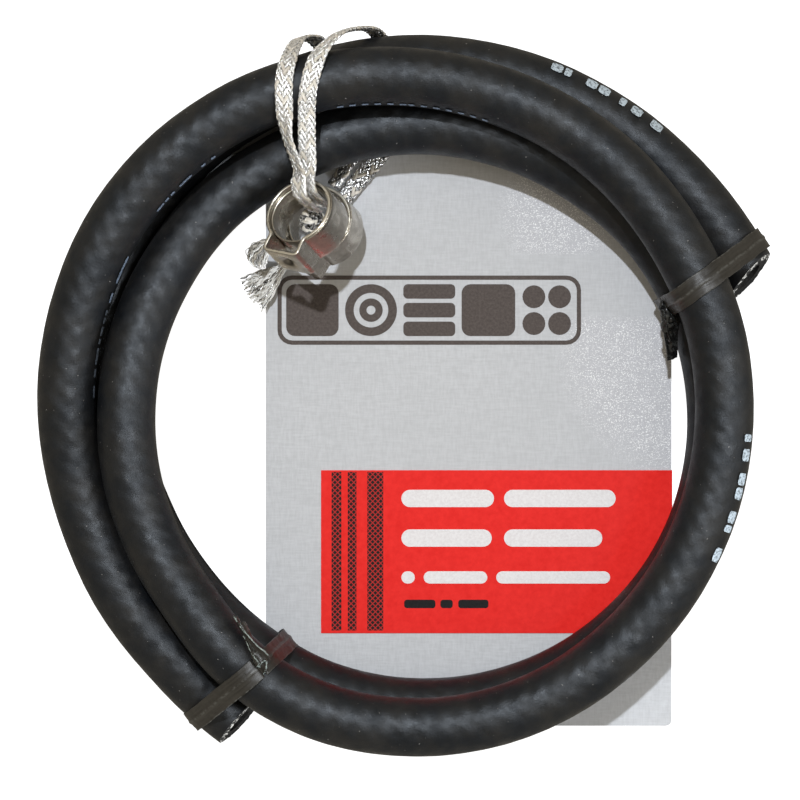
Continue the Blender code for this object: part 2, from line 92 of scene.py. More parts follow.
HOSE_ROUTE = (
    (244, 64.3, 6.9), (236, 62.7, 7.6), (228, 61.3, 9.0), (214, 60.0, 9.9),
    (202, 59.0, 10.5), (190, 58.6, 12.0), (180, 58.4, 13.6), (165, 58.1, 15.0),
    (150, 58.1, 15.9), (130, 57.7, 16.6), (110, 57.0, 17.0), (90, 56.0, 17.0),
    (70, 55.5, 17.1), (50, 55.5, 17.5), (30, 55.7, 17.9), (10, 56.7, 17.8),
    (-10, 57.5, 17.5), (-30, 58.2, 17.3), (-50, 58.7, 17.2), (-70, 58.8, 17.2),
    (-90, 57.9, 17.4), (-105, 56.7, 17.8), (-120, 54.5, 18.0), (-135, 51.4, 17.2),
    (-150, 49.9, 16.0), (-165, 48.7, 15.6), (-180, 47.6, 14.9), (-195, 46.9, 12.9),
    (-210, 46.5, 10.2), (-225, 46.6, 8.5), (-245, 46.6, 8.1), (-270, 47.9, 8.2),
    (-290, 49.2, 8.0), (-310, 51.0, 7.7), (-330, 53.5, 7.5), (-350, 55.5, 7.3),
    (-370, 57.1, 7.0), (-390, 58.0, 6.8), (-410, 57.8, 6.7), (-430, 56.7, 6.7),
    (-450, 55.1, 7.1), (-465, 53.7, 7.5), (-480, 51.9, 7.6), (-495, 50.6, 6.7),
    (-510, 49.9, 5.5), (-522, 49.9, 5.2), (-535, 51.1, 5.2), (-550, 53.4, 5.2),
    (-570, 55.9, 5.3), (-590, 57.2, 5.7), (-610, 57.9, 6.4), (-630, 59.0, 6.5),
    (-650, 60.3, 6.5), (-670, 61.9, 6.6), (-690, 64.2, 6.5), (-703, 66.4, 6.2),
)
UPPER_CLAMP = ((-16.0, 30.8, 16.9), (0.425, -0.443, -0.788), (-0.386, -0.878, 0.286))
LOWER_CLAMP = ((-13.35, 30.2, 8.2), (0.305, -0.268, -0.9135), (-0.53, -0.84, 0.07))
RIGHT_IN_RING = (
    ((1.1, 3.9, -1.6), (1, 0, 0)), ((1, 3.9, 0.8), (1, 0, 0)),
    ((0.6, 4.1, 3.4), (1, 0, 0)), ((0, 5.6, 4.9), (1, 0.1, 0)),
    ((-0.3, 7.6, 5.7), (0.95, 0.1, -0.2)),
)
RIGHT_STRAND = (
    ((-15.9, 45.3, 20.2), (1, 0, 0)), ((-15.8, 51.5, 22), (1, 0, 0)),
    ((-15, 55.9, 23), (1, 0.15, 0)), ((-13.4, 60, 22), (1, 0.3, 0.2)),
    ((-10.4, 63.4, 17.5), (1, 0.3, 0.5)), ((-7, 64.9, 11.5), (1, 0.1, 0.5)),
    ((-4.6, 65.1, 6.5), (1, 0, 0.4)), ((-3, 63.6, 2), (1, 0, 0.3)),
    ((-2.4, 60.6, 0.75), (1, 0, 0)), ((-2, 55, 0.6), (1, 0, 0)),
    ((-1.8, 50, 0.7), (1, 0, 0)), ((-1.8, 46.6, 1.6), (1, 0, 0)),
    ((-2.9, 43.6, 2.1), (0.9, -0.3, 0)), ((-5, 41, 2.3), (0.76, -0.65, 0)),
    ((-7.3, 38.3, 2.4), (0.76, -0.65, 0)), ((-9.9, 35.2, 2.6), (0.76, -0.65, 0)),
)
LEFT_IN_RING = (
    ((0.3, 2.4, -0.8), (1, 0, 0)), ((0.1, 2.3, 1.6), (1, 0, 0)),
    ((-0.3, 2.6, 4.2), (1, 0, 0)), ((-0.8, 4.4, 5.6), (1, 0, 0)),
    ((-1.4, 6.6, 6.6), (0.75, 0, 0.4)),
)
LEFT_STRAND = (
    ((-19.3, 45.2, 21.4), (0.5, 0, 0.85)), ((-19.8, 51.3, 22.6), (1, 0, 0)),
    ((-19.7, 55.6, 22.9), (1, 0.2, 0)), ((-18.8, 59.4, 20.8), (1, 0.3, 0.1)),
    ((-17.6, 62.4, 15.5), (1, 0.3, 0.2)), ((-16.2, 63.4, 9.5), (1, 0.25, 0.2)),
    ((-14.6, 63.4, 5), (1, 0.2, 0.2)), ((-12.6, 61.2, 1.3), (1, 0.2, 0)),
    ((-10.8, 57.6, 0.62), (0.95, 0.3, 0)), ((-8.4, 52.4, 0.6), (0.95, 0.2, 0)),
    ((-7.2, 48.6, 0.9), (1, 0, 0)), ((-6.9, 45.6, 1.85), (1, -0.1, 0)),
    ((-8.1, 43, 2.8), (0.8, -0.3, 0.4)), ((-9.7, 40.4, 3.3), (0.6, -0.35, 0.65)),
    ((-11.6, 37.5, 3.4), (0.6, -0.35, 0.65)),
)
KNOT_CENTRE = (-15.1, 30.8, 12.9)
KNOT_RADII = (2.4, 2.3, 1.9)
UPPER_TASSEL = (
    ((-21.9, 27.4, 12.1), 2.0, 1.0),
    ((-23.4, 26.6, 10.6), 3.2, 1.6),
    ((-24.6, 25.5, 8.4), 4.4, 2.2),
    ((-25.2, 24.2, 7.0), 4.4, 2.0),
    ((-24.6, 23.2, 6.1), 3.4, 1.3),
)
LOWER_TASSEL = (
    ((-15.0, 30.3, 10.4), 1.8, 0.9),
    ((-14.3, 29.6, 8.0), 2.0, 1.0),
    ((-14.5, 28.4, 5.4), 2.2, 1.0),
    ((-16.1, 26.8, 3.6), 2.2, 1.0),
    ((-18.6, 24.8, 3.3), 2.0, 1.0),
    ((-20.8, 23.0, 3.6), 1.8, 1.2),
    ((-22.2, 21.7, 3.7), 3.2, 1.6),
    ((-23.8, 20.3, 3.3), 4.8, 1.7),
    ((-25.4, 18.9, 3.0), 6.0, 1.5),
    ((-26.7, 17.8, 2.7), 6.4, 0.9),
)
FRAY_SPREAD = Vector((0.70, -0.70, 0.15))
RIGHT_TIE = ((47.2, 15.7), (0.817, 0.577))
RIGHT_TAIL = ((47.6, 14.4, 13.4), (47.9, 12.0, 12.6), (48.2, 9.6, 11.0), (48.6, 6.6, 9.4))
LEFT_TIE = ((-23.9, -46.9), (-0.76, -0.65))
LEFT_TAIL = ((-23.6, -46.3, 24.3), (-25.0, -43.9, 23.7), (-26.4, -41.3, 22.7), (-28.0, -38.3, 21.3))

# The print on the card and its label, as (left, bottom, width, height) from the coil's centre
CARD_TOP = 1.32
LABEL_TOP = 1.46
PRINT_LIFT = 0.03
PRINT_GAP = 0.02
BAND_FRAME = (-21.6, 9.2, 54.4, 12.4)
LABEL_STRIPES = ((-11.9, 1.75), (-9.0, 1.55), (-5.5, 2.85))
LABEL_STRIPE_BOTTOM = -42.0
LABEL_STRIPE_HEIGHT = 28.4

CAMERA_PLACE = Vector((0.354, -0.708, 700.0))
CAMERA_LENS = 175.4
SUN_TURN = (-20.5, -5.0, 0.0)
FLOOR_HALF = 1500.0
# The floor is dark between these two circles under the coil, as (centre, radius), which
# also keeps it from showing white through the narrow gap between the turns
DARK_RING = (((0.0, 0.0), 57.3), ((1.6, -1.1), 51.7))
SHADE_RADII = (40.0, 68.0)


# ---------------------------------------------------------------- curves

def smooth_value(rows, x):
    """Reads a smooth curve through the rows, whose first column runs up or down."""
    way = 1 if rows[1][0] > rows[0][0] else -1
    i = 0
    while i < len(rows) - 2 and way * x > way * rows[i + 1][0]:
        i += 1
    before, start, end, after = rows[max(i - 1, 0)], rows[i], rows[i + 1], rows[min(i + 2, len(rows) - 1)]
    span = end[0] - start[0]
    t = (x - start[0]) / span
    values = []
    for k in range(1, len(start)):
        slope_in = (end[k] - before[k]) / (end[0] - before[0]) * span
        slope_out = (after[k] - start[k]) / (after[0] - start[0]) * span
        values.append(
            (2 * t**3 - 3 * t**2 + 1) * start[k]
            + (t**3 - 2 * t**2 + t) * slope_in
            + (3 * t**2 - 2 * t**3) * end[k]
            + (t**3 - t**2) * slope_out
        )
    return values


def smooth_points(points, steps):
    """Points along a smooth curve through the given points, with steps to each stretch."""
    rows = [(i, *point) for i, point in enumerate(points)]
    count = (len(points) - 1) * steps
    return [Vector(smooth_value(rows, i / steps)) for i in range(count + 1)]


def even_points(points, step):
    """The same line with points at even steps."""
    total = length_of(points)
    count = max(2, round(total / step))
    step = total / count
    line, travelled = [points[0].copy()], 0.0
    for start, end in zip(points, points[1:]):
        length = (end - start).length
        while len(line) <= count and travelled + length >= len(line) * step - 1e-9:
            line.append(start.lerp(end, (len(line) * step - travelled) / length))
        travelled += length
    while len(line) <= count:
        line.append(points[-1].copy())
    return line


def length_of(points):
    return sum((b - a).length for a, b in zip(points, points[1:]))


def hose_points(step):
    """The hose's middle line over its whole length, at even steps."""
    fine = []
    first, last = HOSE_ROUTE[0][0], HOSE_ROUTE[-1][0]
    for i in range(2 * (first - last) + 1):
        bearing = first - i / 2
        radius, height = smooth_value(HOSE_ROUTE, bearing)
        angle = math.radians(bearing)
        fine.append(COIL_CENTRE + Vector((radius * math.cos(angle), radius * math.sin(angle), height)))
    line, travelled = [fine[0]], 0.0
    for start, end in zip(fine, fine[1:]):
        length = (end - start).length
        if travelled + length > HOSE_LENGTH:
            line.append(start.lerp(end, (HOSE_LENGTH - travelled) / length))
            break
        line.append(end)
        travelled += length
    return even_points(line, step)


def ahead_along(line):
    """The way that a line runs at each of its points."""
    return [(after - before).normalized() for before, after in zip(line[:1] + line, line[1:] + line[-1:])]


def frames_along(line, sides):
    """Centre, across, up and ahead directions at each point of a line."""
    frames = []
    for centre, side, ahead in zip(line, sides, ahead_along(line)):
        across = (side - ahead * side.dot(ahead)).normalized()
        frames.append((centre, across, across.cross(ahead).normalized(), ahead))
    return frames


def arc(x, y, radius, start, end, steps):
    turns = [math.radians(start + (end - start) * i / steps) for i in range(steps + 1)]
    return [(x + radius * math.cos(turn), y + radius * math.sin(turn)) for turn in turns]


# ---------------------------------------------------------------- meshes

class Shape:
    """Collects rings of points, in millimetres, into one mesh."""

    def __init__(self):
        self.points = []
        self.faces = []
        self.slots = []
        self.corners = []

    def add_points(self, places):
        first = len(self.points)
        self.points += [place * MM for place in places]
        return list(range(first, len(self.points)))

    def add_face(self, face, slot=0, corners=None):
        self.faces.append(face)
        self.slots.append(slot)
        self.corners.append(corners or [(0.0, 0.0)] * len(face))

    def skin(self, near, far, slot=0, u=(0.0, 1.0), around=True):
        """Faces between two rings; u is how far along each ring is."""
        count = len(near)
        for i in range(count if around else count - 1):
            j = (i + 1) % count
            low, high = i / count, (i + 1) / count
            corners = [(low, u[0]), (high, u[0]), (high, u[1]), (low, u[1])]
            self.add_face([near[i], near[j], far[j], far[i]], slot, corners)

    def tube(self, rings, slot=0, step=1.0, caps=True):
        """A closed skin through rings of points, with its ends filled."""
        rows = [self.add_points(ring) for ring in rings]
        for k, (near, far) in enumerate(zip(rows, rows[1:])):
            self.skin(near, far, slot, (k * step, (k + 1) * step))
        if caps:
            self.add_face(rows[0][::-1], slot)
            self.add_face(rows[-1], slot)
        else:
            self.skin(rows[-1], rows[0], slot, (len(rows) * step - step, len(rows) * step))

    def sheet(self, rows, slot=0):
        """An open grid of faces through rows of points."""
        grid = [self.add_points(row) for row in rows]
        for near, far in zip(grid, grid[1:]):
            self.skin(near, far, slot, around=False)

    def finish(self, name, materials, body=ROOT, slot=None, smooth=True, sharp=None):
        mesh = bpy.data.meshes.new(name)
        mesh.from_pydata(self.points, [], self.faces)
        mesh.polygons.foreach_set("material_index", self.slots)
        layer = mesh.uv_layers.new(name="Along")
        layer.data.foreach_set("uv", [value for face in self.corners for corner in face for value in corner])
        for material in materials:
            mesh.materials.append(material)
        if smooth:
            mesh.shade_smooth()
        if sharp:
            mesh.set_sharp_from_angle(angle=math.radians(sharp))
        mesh.validate()
        obj = bpy.data.objects.new(name, mesh)
        bpy.context.scene.collection.objects.link(obj)
        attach(obj, body)
        return obj


def oval_ring(centre, across, up, wide, thick, sides):
    """Points on an oval, from its centre, its two directions and its two radii."""
    return [centre + across * wide * x + up * thick * y
            for x, y in arc(0.0, 0.0, 1.0, 0, 360 - 360 / sides, sides - 1)]


# ---------------------------------------------------------------- materials

MILLIMETRES = (1000.0, 1000.0, 1000.0)


class Finish:
    """A Principled material and short ways to add texture nodes to it."""

    def __init__(self, name, colour, roughness, metallic=0.0, specular=0.5):
        self.material = bpy.data.materials.new(name)
        self.material.use_nodes = True
        self.tree = self.material.node_tree
        self.shader = self.tree.nodes["Principled BSDF"]
        for key, value in (("Base Color", (*colour, 1.0)), ("Roughness", roughness),
                           ("Metallic", metallic), ("Specular IOR Level", specular)):
            self.put(self.shader, key, value)

    def node(self, kind, **inputs):
        node = self.tree.nodes.new(kind)
        for key, value in inputs.items():
            self.put(node, key.replace("_", " "), value)
        return node

    def put(self, node, key, value):
        if isinstance(value, bpy.types.NodeSocket):
            self.tree.links.new(value, node.inputs[key])
        else:
            node.inputs[key].default_value = value

    def places(self, scale=MILLIMETRES, turn=0.0, uv=False):
        """Millimetres in the object, or the distances round and along it."""
        source = self.node("ShaderNodeTexCoord").outputs["UV" if uv else "Object"]
        mapping = self.node("ShaderNodeMapping", Vector=source, Scale=scale)
        mapping.inputs["Rotation"].default_value = (0.0, 0.0, math.radians(turn))
        return mapping.outputs["Vector"]

    def axis(self, letter, scale=MILLIMETRES, uv=False):
        """One of those distances."""
        return self.node("ShaderNodeSeparateXYZ", Vector=self.places(scale, uv=uv)).outputs[letter]

    def noise(self, scale, detail=3.0, roughness=0.55, stretch=MILLIMETRES, uv=False):
        places = self.places(stretch, uv=uv)
        node = self.node("ShaderNodeTexNoise", Vector=places, Scale=scale, Detail=detail, Roughness=roughness)
        return node.outputs["Fac"]

    def ramp(self, value, low, high, out_low=0.0, out_high=1.0):
        """Spreads the part of a value between low and high, and clamps the rest."""
        node = self.node("ShaderNodeMapRange", Value=value, From_Min=low, From_Max=high,
                         To_Min=out_low, To_Max=out_high)
        return node.outputs["Result"]

    def maths(self, operation, first, second=0.0):
        node = self.tree.nodes.new("ShaderNodeMath")
        node.operation = operation
        self.put(node, 0, first)
        self.put(node, 1, second)
        return node.outputs["Value"]

    def blend(self, factor, first, second):
        """Mixes two colours, each a colour or a socket."""
        node = self.tree.nodes.new("ShaderNodeMix")
        node.data_type = "RGBA"
        for socket, value in ((0, factor), (6, first), (7, second)):
            self.put(node, socket, (*value, 1.0) if isinstance(value, tuple) else value)
        return node.outputs[2]

    def colour(self, socket):
        self.put(self.shader, "Base Color", socket)

    def mottle(self, value, low, high, dark, light):
        """Colours the surface from dark to light where a value runs from low to high."""
        self.colour(self.blend(self.ramp(value, low, high), dark, light))

    def roughness(self, socket):
        self.put(self.shader, "Roughness", socket)

    def bump(self, height, distance, before=None):
        """Raises the surface by a height times a distance in millimetres."""
        node = self.node("ShaderNodeBump", Height=height, Distance=distance * MM, Strength=1.0)
        if before is not None:
            self.put(node, "Normal", before)
        self.put(self.shader, "Normal", node.outputs["Normal"])
        return node.outputs["Normal"]


# Plain grained finishes: roughness, specular, the noise that the colour follows, the part
# of that noise in use, the noise of the relief if it is another one, and the relief's depth
CUT_RUBBER = (0.75, 0.25, (2.6, 4.0, 0.7), (0.45, 0.7), None, 0.12)
YARN_ENDS = (0.85, 0.5, (1.3, 2.0), (0.51, 0.59), (5.0, 2.0), 0.15)
MARKING_INK = (0.6, 0.5, (2.4, 3.0), (0.34, 0.54), (5.0, 2.0), 0.02)
PULP_BOARD = (0.9, 0.2, (1.0, 4.0, 0.55, (900.0, 900.0, 5200.0)), (0.35, 0.65), None, 0.06)
PRINTING_INK = (0.5, 0.10, (2.2, 3.0, 0.7), (0.35, 0.65), (1.0, 2.0, 0.55, (2600.0, 180.0, 1000.0)), 0.02)
SPUN_YARN = (0.85, 0.2, (1.0, 3.0, 0.55, (14.0, 1.2, 1.0), True), (0.35, 0.65), None, 0.05)
TWISTED_PLASTIC = (0.2, 0.6, (1.2, 4.0, 0.6), (0.5, 0.72), None, 0.10)


def grained_finish(name, kind, dark, light, plain=None):
    """One of the kinds above, between a dark and a light colour; plain is its flat colour."""
    roughness, specular, grain, (low, high), relief, depth = kind
    finish = Finish(name, plain or light, roughness, specular=specular)
    noise = finish.noise(*grain)
    finish.mottle(noise, low, high, dark, light)
    finish.bump(finish.noise(*relief) if relief else noise, depth)
    return finish.material


def cut_rubber_finish(name, shade):
    """The torn, dull face where the hose is cut."""
    return grained_finish(name, CUT_RUBBER, (shade,) * 3, (2.6 * shade,) * 3, (shade,) * 3)


def rubber_finish():
    """Satin black rubber with a fine grain, pale dust and rubbed places."""
    finish = Finish("Hose rubber", (0.010, 0.010, 0.011), 0.5, specular=0.36)
    finish.put(finish.shader, "Specular Tint", (0.90, 0.95, 1.0, 1.0))
    rubbed = finish.ramp(finish.noise(0.14, 5.0, 0.65), 0.40, 0.66)
    grey = finish.blend(rubbed, (0.0040, 0.0048, 0.0062), (0.0135, 0.0122, 0.0108))
    finish.mottle(finish.noise(1.7, 1.0), 0.77, 0.80, grey, (0.15, 0.14, 0.13))
    finish.roughness(finish.ramp(finish.noise(0.34, 5.0, 0.7), 0.34, 0.66, 0.37, 0.58))
    fine = finish.bump(finish.noise(3.6, 4.0, 0.75), 0.030)
    finish.bump(finish.noise(0.5), 0.09, before=fine)
    return finish.material


def region(finish, centre, radius, soft):
    """1 inside an upright cylinder, placed from the coil's centre, and 0 outside."""
    node = finish.node("ShaderNodeVectorMath", Vector=finish.places((1000.0, 1000.0, 0.0)))
    node.operation = "DISTANCE"
    node.inputs[1].default_value = (centre[0] + COIL_CENTRE.x, centre[1] + COIL_CENTRE.y, 0.0)
    return finish.ramp(node.outputs["Value"], radius + soft, radius - soft)


# Where the card's varnish lies, with white glints painted on it: a circle's centre, radius and softness, and
# the level that cuts it
VARNISH_AND_GLINTS = (((53.4, 9.0), 23.0, 3.0, 14.8, 13.0), ((28.8, 33.0), 9.5, 2.5, 25.0, 26.0))


def linen_finish():
    """Pale grey paper pressed with a fine linen weave, with white glints painted where the varnish lies."""
    finish = Finish("Linen paper", (0.60, 0.62, 0.65), 0.6, specular=0.20)
    warp = finish.noise(1.0, 2.0, stretch=(3000.0, 520.0, 1000.0))
    weft = finish.noise(1.0, 2.0, stretch=(420.0, 3000.0, 1000.0))
    weave = finish.maths("ADD", warp, weft)
    base = finish.blend(finish.ramp(weave, 0.75, 1.25), (0.550, 0.555, 0.568), (0.632, 0.638, 0.655))
    cloud = finish.ramp(finish.noise(0.035, 2.0), 0.35, 0.65, 0.0, 0.25)
    base = finish.blend(cloud, base, (0.55, 0.555, 0.57))
    patches = []
    for centre, radius, soft, low, high in VARNISH_AND_GLINTS:
        level = finish.ramp(finish.axis("Y"), low + COIL_CENTRE.y, high + COIL_CENTRE.y)
        patches.append(finish.maths("MULTIPLY", region(finish, centre, radius, soft), level))
    patches = finish.maths("MAXIMUM", *patches)
    # painted glints: white specks in the base colour where the varnish catches the lamp
    glint_specks = finish.ramp(finish.noise(1.0, 1.0, 0.4, (4600.0, 5200.0, 1000.0)), 0.56, 0.66)
    painted_glints = finish.maths("MULTIPLY", finish.maths("MULTIPLY", glint_specks, patches), 0.85)
    base = finish.blend(finish.maths("MULTIPLY", patches, 0.35), base, (0.50, 0.49, 0.53))
    finish.colour(finish.blend(painted_glints, base, (1.0, 1.0, 1.0)))
    finish.roughness(finish.ramp(patches, 0.0, 1.0, 0.62, 0.45))
    finish.bump(weave, 0.035)
    return finish.material


def label_finish():
    """Glossy red printed paper with the faint grain of its stock."""
    finish = Finish("Label red", (0.80, 0.035, 0.03), 0.45, specular=0.06)
    mottle = finish.noise(0.9, 4.0, 0.65)
    finish.mottle(mottle, 0.3, 0.7, (0.82, 0.020, 0.016), (0.92, 0.030, 0.024))
    finish.roughness(finish.ramp(mottle, 0.3, 0.7, 0.34, 0.46))
    finish.bump(finish.noise(1.0, 2.0, stretch=(2600.0, 180.0, 1000.0)), 0.015)
    return finish.material


def hatch_finish():
    """Black stripes broken by a fine red crosshatch."""
    finish = Finish("Hatched black ink", (0.02, 0.015, 0.015), 0.45, specular=0.10)
    lines = []
    for turn in (45.0, -45.0):
        wave = finish.node("ShaderNodeTexWave", Vector=finish.places(turn=turn), Scale=0.46, Distortion=0.0)
        wave.bands_direction = "X"
        lines.append(wave.outputs["Fac"])
    finish.mottle(finish.maths("MAXIMUM", *lines), 0.80, 0.92, (0.006, 0.004, 0.004), (0.50, 0.02, 0.015))
    finish.bump(finish.noise(2.6, 2.0), 0.01)
    return finish.material


def steel_finish():
    """Stainless strip, rolled along its length, dulled by handling, with a painted highlight along one rim.
    """
    finish = Finish("Stainless steel", (0.62, 0.59, 0.54), 0.26, metallic=1.0)
    smears = finish.noise(0.45, 4.0)
    around = finish.axis("X", (1.0, 1.0, 1.0), True)
    # painted highlight: a pale cream line along one rim of the strip
    highlight_rim_distance = finish.maths("ABSOLUTE", finish.maths("SUBTRACT", around, 0.445))
    dull = finish.blend(finish.ramp(smears, 0.35, 0.7), (0.60, 0.56, 0.49), (0.36, 0.33, 0.285))
    finish.mottle(highlight_rim_distance, 0.055, 0.04, dull, (0.86, 0.82, 0.72))
    finish.roughness(finish.ramp(smears, 0.3, 0.7, 0.20, 0.38))
    fine = finish.bump(finish.noise(1.0, 4.0, 0.6, (40.0, 0.25, 1.0), True), 0.012)
    finish.bump(finish.noise(1.1, 2.0), 0.02, before=fine)
    return finish.material


def foil_finish(name, shadow, depth, share):
    """Crumpled silver foil yarn, with a share of painted shade in its creases; more painted shade where it
    lies low on the card under the hose.
    """
    finish = Finish(name, (0.86, 0.85, 0.82), 0.22, metallic=0.7, specular=0.9)
    creases = finish.noise(3.0, 3.0, 0.7)
    # painted shade: below 6.5 mm, under the hose, more of the creases turn dark and their colour sinks to
    # near black
    low = finish.ramp(finish.axis("Z"), 6.5, 4.0)
    lit = finish.maths("SUBTRACT", creases, finish.maths("MULTIPLY", low, 0.06))
    crease_shade = finish.blend(low, shadow, (0.03, 0.03, 0.03))
    finish.mottle(lit, share, share + 0.14, crease_shade, (1.0, 0.995, 0.98))
    finish.bump(creases, depth)
    return finish.material


def tie_finish(name, ridge_wear, edge_wear):
    """Dark brown plastic ribbon, whitened over its wire and along its edges."""
    finish = Finish(name, (0.045, 0.040, 0.032), 0.42)
    streaks = finish.noise(1.0, 3.0, stretch=(30.0, 0.12, 1.0), uv=True)
    colour = finish.blend(finish.ramp(streaks, 0.35, 0.7), (0.013, 0.0112, 0.0085), (0.030, 0.026, 0.020))
    patchy = finish.ramp(finish.noise(1.4, 2.0), 0.40, 0.60)
    # 0 over the wire and 0.5 at either edge
    across = finish.maths("FRACT", finish.maths("MULTIPLY", finish.axis("X", (1.0, 1.0, 1.0), True), 2.0))
    off_wire = finish.maths("ABSOLUTE", finish.maths("SUBTRACT", across, 0.5))
    for low, high, wear in ((0.07, 0.02, ridge_wear), (0.44, 0.48, edge_wear)):
        worn = finish.maths("MULTIPLY", finish.ramp(off_wire, low, high), patchy)
        colour = finish.blend(worn, colour, wear)
    finish.colour(colour)
    finish.roughness(finish.ramp(streaks, 0.3, 0.7, 0.36, 0.52))
    finish.bump(streaks, 0.03)
    return finish.material


# ---------------------------------------------------------------- camera, light and floor

def make_camera():
    data = bpy.data.cameras.new("Camera")
    data.lens = CAMERA_LENS
    data.sensor_width = 36.0
    data.clip_start = 0.01
    data.clip_end = 20.0
    camera = bpy.data.objects.new("Camera", data)
    camera.location = (CAMERA_PLACE + COIL_CENTRE) * MM
    bpy.context.scene.collection.objects.link(camera)
    bpy.context.scene.camera = camera


def add_sun(name, energy, width, colour, turn, left_out=None):
    """A lamp far away; left_out is the kind of ray that it doesn't show to."""
    data = bpy.data.lights.new(name, "SUN")
    data.energy = energy
    data.angle = math.radians(width)
    data.color = colour
    sun = bpy.data.objects.new(name, data)
    sun.rotation_euler = turn
    if left_out:
        setattr(sun, left_out, False)
    bpy.context.scene.collection.objects.link(sun)


def make_light():
    add_sun("Sun", 2.1, 2.0, (0.94, 1.0, 1.08), [math.radians(turn) for turn in SUN_TURN])
    # soft lights that only show as sheen: one beside the camera, and one low on the right
    for name, energy, width, tilt in (("Sheen", 1.6, 10.0, 23.0), ("Side sheen", 0.58, 40.0, 62.0)):
        add_sun(name, energy, width, (0.96, 1.0, 1.06), (0.0, math.radians(tilt), 0.0), "visible_diffuse")
    # a low soft light from the lower right, which reaches only what lies outside the coil
    low = Vector((0.48, -0.85, 0.208)).to_track_quat("Z", "Y").to_euler()
    add_sun("Low fill", 3.2, 6.0, (0.92, 1.0, 1.1), low, "visible_glossy")
    world = bpy.data.worlds.new("Studio")
    bpy.context.scene.world = world
    world.use_nodes = True
    background = world.node_tree.nodes["Background"]
    background.inputs["Color"].default_value = (0.42, 0.38, 0.31, 1.0)
    background.inputs["Strength"].default_value = 1.0
    bpy.context.scene.view_settings.view_transform = "Standard"


def make_floor():
    """A plain white sheet that glows, except in a dark ring under the coil."""
    finish = Finish("Studio white", (0.4, 0.4, 0.4), 1.0, specular=0.0)
    finish.put(finish.shader, "Emission Color", (1.0, 1.0, 1.0, 1.0))
    shaded = finish.maths("SUBTRACT", *(region(finish, centre, radius, 0.2) for centre, radius in DARK_RING))
    finish.put(finish.shader, "Emission Strength", finish.maths("SUBTRACT", 1.0, shaded))
    corners = [(x * FLOOR_HALF, y * FLOOR_HALF) for x, y in ((-1, -1), (1, -1), (1, 1), (-1, 1))]
    floor = studio_piece("Floor", corners, [(0, 1, 2, 3)], -0.2, finish.material)
    floor.visible_diffuse = False
    floor.visible_glossy = False
    # under the coil nothing lights it from below, though the camera sees only the sheet
    dark = Finish("Studio shade", (0.01, 0.01, 0.01), 1.0, specular=0.0)
    rims = [spot for radius in SHADE_RADII for spot in arc(0.0, 0.0, radius, 0, 354, 59)]
    faces = [(i, (i + 1) % 60, 60 + (i + 1) % 60, 60 + i) for i in range(60)]
    shade = studio_piece("Shade under the coil", rims, faces, -1.2, dark.material)
    shade.visible_camera = False


def studio_piece(name, corners, faces, height, material):
    """A flat piece of the studio, which isn't part of the object, in millimetres."""
    mesh = bpy.data.meshes.new(name)
    mesh.from_pydata([Vector((x, y, height)) * MM for x, y in corners], [], faces)
    mesh.materials.append(material)
    piece = bpy.data.objects.new(name, mesh)
    bpy.context.scene.collection.objects.link(piece)
    return piece


# ---------------------------------------------------------------- hose

HOSE_STEP = 0.8
HOSE_SIDES = 48
BORE_EVERY = 6
BEAD_PITCH = 3.65
BEAD_COLUMNS = 7
BEAD_HEIGHT = 0.11
SWELL_HEIGHT = 0.05
END_TAPER = 14.0
# How far each cut leans: towards the coil's middle, and under
CUT_LEANS = ((0.09, 0.25), (0.37, 0.26))
CUT_REACHES = (0.0, 0.5)


def hose_frames(step):
    line = hose_points(step)
    return frames_along(line, [ahead.cross(UP) for ahead in ahead_along(line)])


def cut_shift(along, total, inward, up):
    """How far a point near an end moves along the hose, so that the cut leans."""
    shift = 0.0
    for (lean_in, lean_under), reach, distance, way in zip(
            CUT_LEANS, CUT_REACHES, (along, total - along), (-1.0, 1.0)):
        near = max(0.0, 1.0 - distance / END_TAPER)
        shift += way * near * near * (inward * lean_in - up * lean_under + reach)
    return shift


def hose_ring(frame, along, total, radius, beads=0.0, push=0.0, rough=0.0):
    centre, inward, up, ahead = frame
    ring = []
    for k in range(HOSE_SIDES):
        angle = 2 * math.pi * k / HOSE_SIDES
        across, height = math.cos(angle), math.sin(angle)
        wave = math.sin(2 * math.pi * along / BEAD_PITCH) * math.cos(BEAD_COLUMNS * angle)
        swell = beads * max(0.0, height) * wave
        place = centre + inward * across * radius + up * height * radius
        if beads:
            swell += SWELL_HEIGHT * noise.noise(place * 0.11)
        jag = rough * noise.noise(place * 1.9)
        shift = cut_shift(along, total, across * radius, height * radius) + push + jag
        ring.append(place + (inward * across + up * height) * swell + ahead * shift)
    return ring


